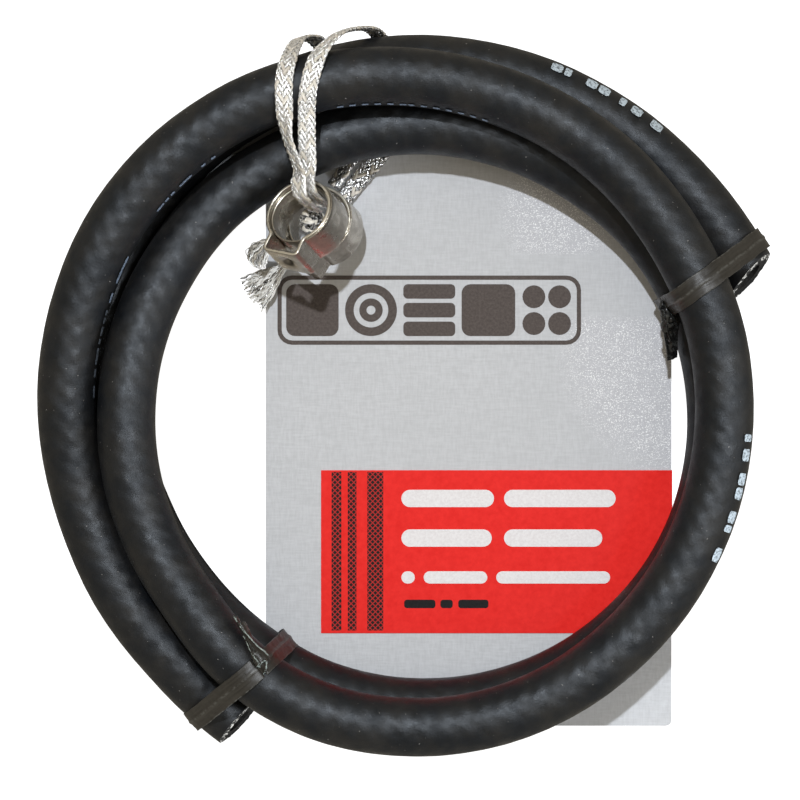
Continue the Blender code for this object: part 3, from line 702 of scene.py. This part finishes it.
def make_hose():
    """The hose as one open-ended pipe, with its layers showing at both cuts."""
    frames = hose_frames(HOSE_STEP)
    total = length_of([frame[0] for frame in frames])
    step = total / (len(frames) - 1)
    shape = Shape()
    face = (
        (HOSE_RADIUS - 0.2, 0.06, 0.12, 1), (HOSE_RADIUS - 0.95, 0.08, 0.16, 2),
        (HOSE_RADIUS - 1.12, 0.24, 0.30, 2), (HOSE_RADIUS - 1.36, 0.02, 0.16, 3),
        (BORE_RADIUS + 0.5, 0.04, 0.12, 3), (BORE_RADIUS + 0.08, 0.0, 0.08, 3),
    )
    rows = []
    for i, frame in enumerate(frames):
        rows.append((hose_ring(frame, i * step, total, HOSE_RADIUS, BEAD_HEIGHT), i * step, 0))
    for radius, push, rough, slot in face:
        rows.append((hose_ring(frames[-1], total, total, radius, 0.0, push, rough), total, slot))
    bore = list(range(0, len(frames), BORE_EVERY))
    for i in reversed(bore):
        rows.append((hose_ring(frames[i], i * step, total, BORE_RADIUS), i * step, 3))
    for radius, push, rough, slot in reversed(face):
        rows.append((hose_ring(frames[0], 0.0, total, radius, 0.0, -push, rough), 0.0, slot))
    rings = [shape.add_points(row[0]) for row in rows]
    for k in range(len(rows)):
        near, far = rows[k - 1], rows[k]
        slot = max(near[2], far[2]) if 3 not in (near[2], far[2]) else 3
        shape.skin(rings[k - 1], rings[k], slot, (near[1], far[1]))
    finishes = [
        rubber_finish(), cut_rubber_finish("Cut hose rubber", 0.020),
        grained_finish("Braid yarn ends", YARN_ENDS, (0.02,) * 3, (0.55, 0.53, 0.49), (0.6, 0.58, 0.54)),
        cut_rubber_finish("Cut lining rubber", 0.010),
    ]
    hose = shape.finish("rubber_hose", finishes, slot="hose_rubber", sharp=50)
    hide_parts("hose_cover", "hose_braid", "hose_liner")
    return frames


def bearing_of(place):
    offset = place - COIL_CENTRE
    return math.degrees(math.atan2(offset.y, offset.x))


def route_bearings(frames):
    """The bearing at every point of the hose, running down without a break."""
    bearings = [HOSE_ROUTE[0][0]]
    for frame in frames[1:]:
        change = bearing_of(frame[0]) - bearings[-1]
        bearings.append(bearings[-1] + (change + 180) % 360 - 180)
    return bearings


# Marks printed on the hose: bearing along the route, length along the hose, the angles
# from the hose's top that they lie between (inward is positive), and which ink they have
def mark_row(start, change, lengths, angles, ink):
    return tuple((start - change * k, length, *angles, ink) for k, length in enumerate(lengths) if length)


MARKS = (
    mark_row(-655.2, 2.0, (2.0, 1.2, 0, 2.0, 2.0, 0, 1.2, 2.0, 0, 2.2), (-36, -60), 0)
    + mark_row(-6.6, 2.1, (1.2, 2.0, 0, 2.0, 2.0, 0, 2.0, 1.2, 0, 2.4), (-40, -62), 0)
    + mark_row(101.5, 2.35, [1.25] * 13, (68, 74), 1)
    + mark_row(142.2, 2.0, (2.0, 1.0, 1.0, 1.6, 1.6, 0, 1.0, 1.0), (65, 72), 1)
    + mark_row(180.0, 2.0, (2.4, 0, 1.6, 1.6, 1.6, 1.0, 1.8, 1.2, 1.0, 2.0, 0, 3.2, 3.2), (66, 74), 1)
)


def make_marks(frames):
    """Short dashes where the hose is marked along its length."""
    bearings = route_bearings(frames)
    shape = Shape()
    for bearing, length, first, last, ink in MARKS:
        start = min(range(len(frames)), key=lambda i: abs(bearings[i] - bearing))
        count = 5
        rows = []
        for i in range(count + 1):
            whole, part = divmod(length * i / count / HOSE_STEP, 1.0)
            here, there = frames[start + int(whole)], frames[start + int(whole) + 1]
            centre, inward, up = (here[k].lerp(there[k], part) for k in range(3))
            near_end = 0.75 if i in (0, count) else 1.0
            middle, half = (first + last) / 2, abs(last - first) / 2 * near_end
            row = []
            for k in range(7):
                angle = math.radians(middle + half * (1 - k / 3))
                out = inward * math.sin(angle) + up * math.cos(angle)
                row.append(centre + out * (HOSE_RADIUS + BEAD_HEIGHT + SWELL_HEIGHT * 0.6 + PRINT_LIFT))
            rows.append(row)
        shape.sheet(rows, ink)
    inks = [
        grained_finish("Marking ink", MARKING_INK, (0.12, 0.14, 0.16), (0.50, 0.58, 0.64)),
        grained_finish("Rubbed marking ink", MARKING_INK, (0.035, 0.045, 0.06), (0.13, 0.16, 0.21)),
    ]
    shape.finish("hose_marking", inks, slot="hose_rubber")


# ---------------------------------------------------------------- card and label

def dress_card():
    linen, label = linen_finish(), label_finish()
    board = grained_finish(
        "Grey board", PULP_BOARD, (0.22, 0.205, 0.185), (0.40, 0.385, 0.355), (0.30, 0.285, 0.26))
    for name, material in (
        ("card_front_paper", linen), ("card_back_paper", linen), ("card_board", board), ("card_label", label),
    ):
        mesh = frame["nodes"][name].data
        mesh.materials.clear()
        mesh.materials.append(material)


def rounded_outline(left, bottom, width, height, corner, steps=5):
    corner = min(corner, width / 2, height / 2)
    outline = []
    for x, y, start in (
        (left + width - corner, bottom + corner, -90), (left + width - corner, bottom + height - corner, 0),
        (left + corner, bottom + height - corner, 90), (left + corner, bottom + corner, 180),
    ):
        outline += arc(x, y, corner, start, start + 90, steps)
    return outline


def flat_points(outline, height):
    return [COIL_CENTRE + Vector((x, y, height)) for x, y in outline]


def add_patch(shape, outline, height):
    """A filled flat shape, as thick as a layer of ink, on the card."""
    under = shape.add_points(flat_points(outline, height))
    over = shape.add_points(flat_points(outline, height + PRINT_LIFT))
    shape.skin(under, over)
    shape.add_face(over)
    shape.add_face(under[::-1])


def add_frame(shape, outer, inner, height):
    """A flat band between two outlines with as many points each."""
    rows = [
        shape.add_points(flat_points(outline, height + lift))
        for outline, lift in ((outer, 0.0), (outer, PRINT_LIFT), (inner, PRINT_LIFT), (inner, 0.0))
    ]
    for k in range(len(rows)):
        shape.skin(rows[k - 1], rows[k])


def make_card_print():
    """A generic printed band: a keyline round a row of plain shapes."""
    left, bottom, width, height = BAND_FRAME
    ink = grained_finish("Brown grey ink", PRINTING_INK, (0.074, 0.058, 0.051), (0.114, 0.092, 0.082))
    level = CARD_TOP + PRINT_GAP
    shape = Shape()
    line, space, gap = 0.75, 1.55, 1.15
    outer = rounded_outline(left, bottom, width, height, 2.6)
    inner = rounded_outline(left + line, bottom + line, width - 2 * line, height - 2 * line, 1.9)
    add_frame(shape, outer, inner, level)
    cell_bottom, cell_height = bottom + space, height - 2 * space
    middle = bottom + height / 2
    x = left + space
    for kind, cell in (("bar", 9.4), ("coil", 9.3), ("bars", 9.3), ("bar", 9.6), ("dots", 9.0)):
        if kind == "bar":
            add_patch(shape, rounded_outline(x, cell_bottom, cell, cell_height, 1.6), level)
        elif kind == "coil":
            for outer_radius, inner_radius in ((cell / 2, 3.1), (2.1, 0.8)):
                add_frame(
                    shape, arc(x + cell / 2, middle, outer_radius, 0, 355, 71),
                    arc(x + cell / 2, middle, inner_radius, 0, 355, 71), level,
                )
        elif kind == "bars":
            for k in range(3):
                add_patch(shape, rounded_outline(x, cell_bottom + k * 3.35, cell, 2.6, 0.8), level)
        else:
            for column in range(2):
                for row in range(2):
                    add_patch(shape, arc(
                        x + 2.2 + column * 4.6, cell_bottom + 2.25 + row * 4.8, 2.05, 0, 345, 23), level)
        x += cell + gap
    shape.finish("card_print", [ink], slot="linen_paper", smooth=False)


# The label's print, in millimetres from the coil's centre: the rows of pale bars, as
# (bottom, height, ((left, width), ...)), and the row of black ones
PALE_ROWS = (
    (-19.9, 3.1, ((0.6, 16.6), (19.0, 20.0))),
    (-27.0, 3.1, ((0.6, 16.2), (19.0, 17.6))),
    (-33.6, 2.2, ((0.6, 2.4), (4.6, 11.4), (17.6, 20.4))),
)
BLACK_ROW = (-38.0, 1.5, ((1.1, 5.6), (7.6, 2.2), (10.8, 5.4)))


def make_label_print():
    """Hatched stripes and plain bars where the label carries its text."""
    stripes = [rounded_outline(left, LABEL_STRIPE_BOTTOM, width, LABEL_STRIPE_HEIGHT, 0.05, 1)
               for left, width in LABEL_STRIPES]
    pale = [rounded_outline(left, bottom, width, height, height / 2, 8)
            for bottom, height, bars in PALE_ROWS for left, width in bars]
    bottom, height, bars = BLACK_ROW
    black = [rounded_outline(left, bottom, width, height, 0.5) for left, width in bars]
    for name, outlines, ink in (
        ("label_stripes", stripes, hatch_finish()),
        ("label_light_bars", pale,
         grained_finish("White ink", PRINTING_INK, (0.80, 0.76, 0.76), (0.90, 0.87, 0.87))),
        ("label_dark_bars", black,
         grained_finish("Black ink", PRINTING_INK, (0.004, 0.003, 0.003), (0.009, 0.008, 0.008))),
    ):
        shape = Shape()
        for outline in outlines:
            add_patch(shape, outline, LABEL_TOP + PRINT_GAP)
        shape.finish(name, [ink], slot="red_label", smooth=False)


# ---------------------------------------------------------------- hose clamps

def clamp_matrix(centre, axis, ear):
    """Ring axis along local Z, towards its upper rim; the ear along local -Y."""
    up = -Vector(axis).normalized()
    out = Vector(ear)
    out = (out - up * out.dot(up)).normalized()
    side = (-out).cross(up).normalized()
    turn = Matrix((side, -out, up)).transposed().to_4x4()
    return Matrix.Translation(Vector(centre) + COIL_CENTRE) @ turn


def band_outline(radius, neck_half, ear_half, ear_face, corner):
    """One side of the band: round the ring and out over the ear, at -Y."""
    neck = math.degrees(math.asin(neck_half / radius))
    outline = arc(0.0, 0.0, radius, neck - 90, 270 - neck, 60)
    outline += arc(corner - ear_half, corner - ear_face, corner, 180, 270, 6)
    outline += arc(ear_half - corner, corner - ear_face, corner, 270, 360, 6)
    return outline


def strip_section(width, thickness, corner, steps):
    """A thin strip's section as (out, along the axis), with rounded edges."""
    half, thick = width / 2, thickness / 2
    section = [(thick, -half + corner + (width - 2 * corner) * k / steps) for k in range(steps + 1)]
    section += arc(thick - corner, half - corner, corner, 22.5, 90, 3)
    section += arc(corner - thick, half - corner, corner, 90, 157.5, 3)
    return section + [(-out, -along) for out, along in section]


def even_outline(outline, step, rounds):
    """A closed outline at even steps, with its corners eased."""
    closed = [Vector((*point, 0.0)) for point in outline + outline[:1]]
    points = even_points(closed, step)[:-1]
    for _ in range(rounds):
        points = [point * 0.5 + (before + after) * 0.25
                  for before, point, after in zip(points[-1:] + points, points, points[1:] + points[:1])]
    return points


def no_dimple(point):
    return 0.0


def clamp_rings(place, points, closed, section, pressed=no_dimple):
    """The strip's section at every point of its line, in the clamp's own place."""
    rings = []
    count = len(points)
    for i, point in enumerate(points):
        before = points[i - 1] if closed or i > 0 else point
        after = points[(i + 1) % count] if closed or i < count - 1 else point
        ahead = (after - before).normalized()
        out = Vector((ahead.y, -ahead.x, 0.0))
        spots = [point + out * thick + UP * along for thick, along in section]
        rings.append([place @ (spot - out * pressed(spot)) for spot in spots])
    return rings


def ring_line(radius, start, end, steps):
    return [Vector((x, y, 0.0)) for x, y in arc(0.0, 0.0, radius, start, end, steps)]


def make_clamp(name, placing, steel, body):
    place = clamp_matrix(*placing)
    middle = CLAMP_RADIUS - BAND_THICKNESS / 2
    inset = BAND_THICKNESS / 2
    ear_face = CLAMP_RADIUS + EAR_HEIGHT - inset
    outline = even_outline(band_outline(
        middle, EAR_NECK / 2 - inset, EAR_WIDTH / 2 - inset, ear_face, EAR_CORNER - inset), BAND_STEP, 3)

    def dimple(point):
        """The pinched ear's face is pressed in at its middle."""
        if point.y > -ear_face + 0.9:
            return 0.0
        return 0.85 * math.exp(-(point.x / 1.25) ** 2 - (point.z / 1.15) ** 2)

    band = Shape()
    section = strip_section(CLAMP_WIDTH, BAND_THICKNESS, 0.16, 24)
    band.tube(clamp_rings(place, outline, True, section, dimple), step=BAND_STEP, caps=False)
    # the strip's overlapping end: a low step that runs part of the way round the ring
    tongue = ring_line(CLAMP_RADIUS + 0.11, -50, 62, 60)
    band.tube(clamp_rings(place, tongue, False, strip_section(CLAMP_WIDTH - 0.5, 0.2, 0.08, 8)), step=0.22)
    piece = band.finish(name + "_strip", [steel], body, "stainless_steel", sharp=60)
    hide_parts(name + "_band")

    outer = CLAMP_RADIUS - BAND_THICKNESS - 0.06
    half_slit = math.degrees(INSERT_SLIT / 2 / outer)
    line = ring_line(outer - INSERT_THICKNESS / 2, 90 + half_slit, 450 - half_slit, 110)
    insert = Shape()
    section = strip_section(INSERT_WIDTH - 1.3, INSERT_THICKNESS, 0.1, 8)
    insert.tube(clamp_rings(place, line, False, section), step=0.3)
    piece = insert.finish(name + "_inner_ring", [steel], body, "stainless_steel", sharp=60)
    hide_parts(name + "_insert")


# ---------------------------------------------------------------- silver cord

YARNS = 8
YARN_TURN = 10.4
YARN_WIDTH = 0.62
YARN_THICKNESS = 0.20
YARN_STEP = 0.36
YARN_LIFT = 0.09


def strand_frames(in_ring, route, step):
    """Even frames along a strand, from inside the upper clamp round the coil."""
    ring = clamp_matrix(*UPPER_CLAMP)
    places = [ring @ Vector(row[0]) for row in in_ring]
    faces = [ring.to_3x3() @ Vector(row[1]) for row in in_ring]
    places += [Vector(row[0]) + COIL_CENTRE for row in route]
    faces += [Vector(row[1]) for row in route]
    fine = smooth_points(places, 24)
    sides = smooth_points(faces, 24)
    line = even_points(fine, step)
    spots, k = [], 0
    for point in line:
        while k + 1 < len(fine) and (fine[k + 1] - point).length < (fine[k] - point).length:
            k += 1
        spots.append(sides[k])
    return frames_along(line, spots)


def yarn_ring(centre, out, ahead, width, thickness):
    """A flattened yarn's section."""
    flat = ahead.cross(out).normalized()
    return oval_ring(centre, flat, flat.cross(ahead), width / 2, thickness / 2, 6)


def braid_yarn(shape, frames, step, start, way, slot, seed):
    """One yarn of a flat tubular braid, which goes over two others and under two."""
    across_half = CORD_WIDTH / 2 - YARN_THICKNESS / 2
    up_half = CORD_THICKNESS / 2 - YARN_THICKNESS
    places, outs = [], []
    for i, (centre, across, up, _) in enumerate(frames):
        along = i * step
        turn = 2 * math.pi * (start / YARNS + way * along / YARN_TURN)
        spread = math.asin(0.985 * math.sin(turn)) / math.asin(0.985)
        crossing = 2 * YARNS * along / YARN_TURN
        lift = YARN_LIFT * way * math.cos(math.pi / 2 * (2 * start + way * crossing - 0.5))
        edge = abs(spread) ** 5 * math.copysign(1.0, spread)
        out = (across * edge + up * max(-1.0, min(1.0, 2.2 * math.cos(turn)))).normalized()
        height = max(-1.0, min(1.0, 2.0 * math.cos(turn))) * up_half
        wander = 0.05 * noise.noise(Vector((along * 0.7, seed * 3.1, 0.0)))
        places.append(centre + across * spread * across_half + up * height + out * (lift + wander))
        outs.append(out)
    rings = [yarn_ring(place, out, ahead, YARN_WIDTH, YARN_THICKNESS)
             for place, out, ahead in zip(places, outs, ahead_along(places))]
    shape.tube(rings, slot, step)


def make_strand(name, in_ring, route, finishes, silver_first):
    frames = strand_frames(in_ring, route, YARN_STEP)
    line = [frame[0] for frame in frames]
    step = length_of(line) / (len(line) - 1)
    shape = Shape()
    for way in (1, -1):
        for start in range(YARNS):
            silver = (start + 2 * (way > 0)) % 4 != silver_first
            braid_yarn(shape, frames, step, start, way, 0 if silver else 1, start + 9 * way)
    shape.tube([oval_ring(*frame[:3], 1.15, 0.16, 8) for frame in frames], 2, step)
    strand = shape.finish(name, finishes, slot="silver_thread")
    return strand


def thread(shape, points, radius, slot, sides=5):
    """A single fine thread along a line."""
    frames = frames_along(points, [Vector((0.31, 0.42, 0.85))] * len(points))
    shape.tube([oval_ring(*frame[:3], radius, radius, sides) for frame in frames], slot, 0.4)


def make_knot(finishes):
    """The knot between the two clamps: yarn wound round itself in several directions."""
    shape = Shape()
    centre = Vector(KNOT_CENTRE) + COIL_CENTRE
    radii = Vector(KNOT_RADII)
    for k in range(11):
        axis = Vector((RANDOM.uniform(-1, 1), RANDOM.uniform(-1, 1), RANDOM.uniform(-1, 1))).normalized()
        tilt = axis.to_track_quat("Z", "Y")
        places, outs = [], []
        offset = RANDOM.uniform(-0.55, 0.55)
        for i in range(41):
            turn = 2 * math.pi * i / 40
            ball = tilt @ Vector((math.cos(turn), math.sin(turn), offset * math.cos(turn * 2))).normalized()
            size = 0.88 + 0.06 * math.sin(3 * turn + k)
            size += 0.12 * noise.noise(ball * 2.6 + Vector((k, 0.0, 0.0)))
            places.append(centre + Vector((ball.x * radii.x, ball.y * radii.y, ball.z * radii.z)) * size)
            outs.append(ball)
        rings = []
        for i in range(40):
            ahead = (places[(i + 1) % 40] - places[i - 1]).normalized()
            rings.append(yarn_ring(places[i], outs[i], ahead, 1.15, 0.34))
        shape.tube(rings, 0 if k % 4 else 1, 0.4, caps=False)
    knot = shape.finish("cord_knot_winding", finishes, slot="silver_thread")
    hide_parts("cord_knot")


def make_tassel(name, node, rows, count, finishes):
    """Loose threads that fan out from the cord's end, crimped where they were braided."""
    line = [place + COIL_CENTRE for place in smooth_points([row[0] for row in rows], 6)]
    sizes = smooth_points([(row[1], row[2]) for row in rows], 6)
    frames = frames_along(line, [FRAY_SPREAD] * len(line))
    shape = Shape()
    for k in range(count):
        angle = RANDOM.uniform(0, 2 * math.pi)
        reach = math.sqrt(RANDOM.random())
        x, y = math.cos(angle) * reach, math.sin(angle) * reach
        last = round(len(frames) * RANDOM.uniform(0.82, 1.0)) if reach > 0.3 else len(frames)
        crimp, phase = RANDOM.uniform(0.06, 0.16), RANDOM.uniform(0, 6.28)
        points = []
        for i in range(last):
            centre, across, up, _ = frames[i]
            width, thick = sizes[i]
            flare = 0.72 + 0.58 * i / len(frames)
            width, thick = width * flare, thick * flare
            wave = crimp * math.sin(i * 1.15 + phase)
            aside, rise = x * width * 0.47 + wave, y * thick * 0.45 + wave * 0.5
            points.append(centre + across * aside + up * rise)
        if len(points) > 3:
            thread(shape, points, RANDOM.uniform(0.09, 0.15), RANDOM.choice((0, 0, 0, 1, 1, 1, 1, 1, 2, 3)))
    tassel = shape.finish(name, finishes, slot="silver_thread")
    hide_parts(node)


def make_cord():
    # both foils carry painted shade in their creases; the knot's is near black
    foil = foil_finish("Silver foil yarn", (0.46, 0.45, 0.43), 0.16, 0.38)
    crumpled = foil_finish("Crumpled foil yarn", (0.03, 0.03, 0.03), 0.45, 0.46)
    beige = grained_finish("Beige yarn", SPUN_YARN, (0.50, 0.45, 0.38), (0.80, 0.75, 0.66))
    dark = grained_finish("Cord core", SPUN_YARN, (0.05, 0.045, 0.04), (0.12, 0.11, 0.10))
    white = grained_finish("White yarn", SPUN_YARN, (0.70, 0.68, 0.63), (0.94, 0.92, 0.88))
    for side, in_ring, route, silver_first in (
        ("right", RIGHT_IN_RING, RIGHT_STRAND, 0), ("left", LEFT_IN_RING, LEFT_STRAND, 1),
    ):
        strand = make_strand("braided_cord_" + side, in_ring, route, [foil, beige, dark], silver_first)
        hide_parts("cord_strand_" + side)
    make_knot([crumpled, beige])
    finishes = [foil, white, beige, dark]
    make_tassel("frayed_end_upper", "cord_tassel_upper", UPPER_TASSEL, 80, finishes)
    make_tassel("frayed_end_lower", "cord_tassel_lower", LOWER_TASSEL, 130, finishes)


# ---------------------------------------------------------------- twist ties

def strap_crossings(line, point, way):
    """Where the hose's turns cross the strap's upright plane: distance, height, stretch."""
    point, way = Vector((*point, 0.0)) + COIL_CENTRE, Vector((*way, 0.0)).normalized()
    normal = way.cross(UP)
    places = []
    for start, end in zip(line, line[1:]):
        near, far = (start - point).dot(normal), (end - point).dot(normal)
        if near * far <= 0.0:
            place = start.lerp(end, near / (near - far))
            stretch = 1.0 / abs((end - start).normalized().dot(normal))
            if abs((place - point).dot(way)) < 6 * HOSE_RADIUS:
                places.append(((place - point).dot(way), place.z, stretch))
    return point, way, places


def turn_of(a, b, c):
    return (b[0] - a[0]) * (c[1] - b[1]) - (b[1] - a[1]) * (c[0] - b[0])


def strap_loop(places, radius, steps):
    """The shortest closed loop round the turns' sections, as evenly spaced points."""
    rim = []
    for x, z, stretch in places:
        rim += [(x + across * stretch, z + up) for across, up in arc(0.0, 0.0, radius, 0, 355, 71)]
    rim = sorted(rim)
    hull = []
    for side in (rim, rim[::-1]):
        chain = []
        for corner in side:
            while len(chain) > 1 and turn_of(chain[-2], chain[-1], corner) <= 0.0:
                chain.pop()
            chain.append(corner)
        hull += chain[:-1]
    closed = [Vector((*corner, 0.0)) for corner in hull + hull[:1]]
    return [(point.x, point.y) for point in even_points(closed, length_of(closed) / steps)[:-1]]


def ribbon_section(width, wing, ridge):
    """The tie's section: thin wings either side of the ridge over its wire."""
    across = [width / 2 * (1 - k / 12) for k in range(25)]
    top = [(x, wing / 2 + (ridge - wing) / 2 * math.exp(-(x / 0.42) ** 2)) for x in across]
    return top + [(x, -y) for x, y in reversed(top)]


def hose_finder(frames):
    """Finds the nearest place on the hose's middle line."""
    tree = kdtree.KDTree(len(frames))
    for i, frame in enumerate(frames):
        tree.insert(frame[0], i)
    tree.balance()
    return tree


def clear_of_hose(place, finder):
    """Moves a point that would lie inside the hose out to its surface."""
    middle, _, distance = finder.find(place)
    if distance >= HOSE_RADIUS + HOSE_CLEARANCE:
        return place
    return middle + (place - middle) * ((HOSE_RADIUS + HOSE_CLEARANCE) / distance)


def add_ribbon(shape, line, sides, width, finder, ridge=TIE_THICKNESS, wing=0.24, wrinkle=0.16, slot=0,
               ends=(1.0, 1.0), seed=0.0):
    """A flat tie with a wire down its middle, its width changing from end to end."""
    frames = frames_along(line, sides)
    rings = []
    for i, (centre, across, up, _) in enumerate(frames):
        along = i / max(1, len(frames) - 1)
        narrow = ends[0] + (ends[1] - ends[0]) * along
        curl = wrinkle * noise.noise(centre * 0.55 + Vector((seed, 0.0, 0.0)))
        sway = wrinkle * noise.noise(centre * 0.35 + Vector((0.0, seed, 7.0)))
        ring = []
        for x, y in ribbon_section(width * narrow, wing, ridge):
            bend = curl * (x / width * 2) ** 2 + wrinkle * 0.5 * noise.noise(centre * 1.6 + across * x * 1.6)
            spot = centre + across * (x + sway) + up * (y + bend)
            ring.append(clear_of_hose(spot, finder))
        rings.append(ring)
    shape.tube(rings, slot, 0.4)


def add_crumple(shape, centre, axis, radius, count, width, finder, slot):
    """The strap's ends wound tightly round each other where the twist starts."""
    turn = Vector(axis).to_track_quat("Z", "Y")
    for k in range(count):
        tilt = Vector((RANDOM.uniform(-0.35, 0.35), RANDOM.uniform(-0.35, 0.35), 1.0)).normalized()
        lean = turn @ tilt.to_track_quat("Z", "Y")
        size = radius * RANDOM.uniform(0.62, 1.0)
        rise = axis * (k / count - 0.5) * radius * 2.2
        start = RANDOM.uniform(0, 6.28)
        line = []
        for i in range(34):
            angle = start + 2 * math.pi * i / 33 * 1.15
            swell = size * (1.0 + 0.16 * math.sin(3 * angle + k))
            spot = Vector((math.cos(angle), math.sin(angle) * 0.8, 0.1 * angle))
            line.append(centre + rise + lean @ spot * swell)
        sides = [lean @ UP] * len(line)
        add_ribbon(shape, line, sides, width, finder, 0.42, 0.2, 0.3, slot, (0.7, 0.8), k * 3.0)


def tail_line(path, reach, start, turns, phase):
    """A line that winds round the tail's path, and the way its ribbon's width faces."""
    frames = frames_along(path, [Vector((1.0, 0.2, 0.1))] * len(path))
    line, sides = [], []
    for i, (centre, across, up, _) in enumerate(frames):
        along = i / (len(frames) - 1)
        angle = phase + 2 * math.pi * turns * along
        gap = reach * (1.0 - 0.6 * along)
        line.append(centre + across * gap * math.cos(angle) + up * gap * math.sin(angle))
        face = start + math.pi * turns * along
        sides.append(across * math.cos(face) + up * math.sin(face))
    return line, sides


# Each tail's ribbons: how far from its middle, way they face, turns, phase, width, length used
RIGHT_TAILS = ((0.25, 0.25, 0.10, 0.0, 3.3, 1.0), (0.55, 1.30, 0.35, 2.6, 2.4, 0.6))
LEFT_TAILS = (
    (0.70, 0.50, 0.45, 0.3, 2.6, 1.0), (0.70, 0.90, 0.50, 3.4, 2.4, 0.86), (0.4, 1.9, 0.3, 1.8, 1.8, 0.6),
)


def make_tie(name, frames, place, tail, tails, finishes, slot):
    finder = hose_finder(frames)
    point, way, places = strap_crossings([frame[0] for frame in frames][::4], *place)
    radius = HOSE_RADIUS + HOSE_CLEARANCE + TIE_THICKNESS / 2
    loop = strap_loop(places, radius, 150)
    twist = Vector(tail[0]) + COIL_CENTRE
    ring = [point + way * x + UP * z for x, z in loop]
    nearest = min(range(len(ring)), key=lambda i: (ring[i] - twist).length)
    ring = ring[nearest:] + ring[:nearest]
    strap = [place for place in ring if (place - twist).length > TWIST_DIAMETER / 2]
    across = way.cross(UP)
    shape = Shape()
    add_ribbon(shape, strap, [across] * len(strap), TIE_WIDTH, finder)
    loop_piece = shape.finish(name + "_ribbon", finishes, slot="tie_plastic")
    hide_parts(name + "_strap", name + "_wire")

    path = even_points([spot + COIL_CENTRE for spot in smooth_points(tail, 8)], 0.25)
    twisted = Shape()
    for seed, (reach, start, turns, phase, width, used) in enumerate(tails):
        line, sides = tail_line(path, reach, start, turns, phase)
        last = round(len(line) * used)
        add_ribbon(
            twisted, line[:last], sides[:last], width, finder, 0.6, 0.24, 0.30, slot, (1.0, 0.62), seed * 5.0
        )
    ahead = (path[4] - path[0]).normalized()
    add_crumple(twisted, path[3], ahead, 1.15, 5, 1.7, finder, slot)
    # where each end of the strap turns into the twist
    for end, inner, seed in ((strap[0], strap[5], 1.0), (strap[-1], strap[-6], 2.0)):
        neck = smooth_points([inner, end, path[0].lerp(end, 0.3), path[4]], 8)
        sides = [across] * len(neck)
        add_ribbon(twisted, neck, sides, TIE_WIDTH, finder, 0.6, 0.24, 0.25, slot, (0.9, 0.45), seed)
    tail_piece = twisted.finish(name + "_tail", finishes, slot="tie_plastic")
    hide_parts(name + "_twist")


def make_ties(frames):
    finishes = [
        tie_finish("Tie plastic", (0.06, 0.058, 0.05), (0.07, 0.068, 0.06)),
        grained_finish(
            "Twisted tie plastic", TWISTED_PLASTIC, (0.010,) * 3, (0.06, 0.062, 0.058), (0.012,) * 3),
        tie_finish("Creased tie plastic", (0.10, 0.11, 0.10), (0.36, 0.42, 0.39)),
    ]
    make_tie("right_tie", frames, RIGHT_TIE, RIGHT_TAIL, RIGHT_TAILS, finishes, 1)
    make_tie("left_tie", frames, LEFT_TIE, LEFT_TAIL, LEFT_TAILS, finishes, 2)


def main():
    make_camera()
    make_light()
    make_floor()
    frames = make_hose()
    make_marks(frames)
    dress_card()
    make_card_print()
    make_label_print()
    steel = steel_finish()
    make_clamp("upper_clamp", UPPER_CLAMP, steel, "upper_clamp")
    make_clamp("lower_clamp", LOWER_CLAMP, steel, "lower_clamp")
    make_cord()
    make_ties(frames)


main()
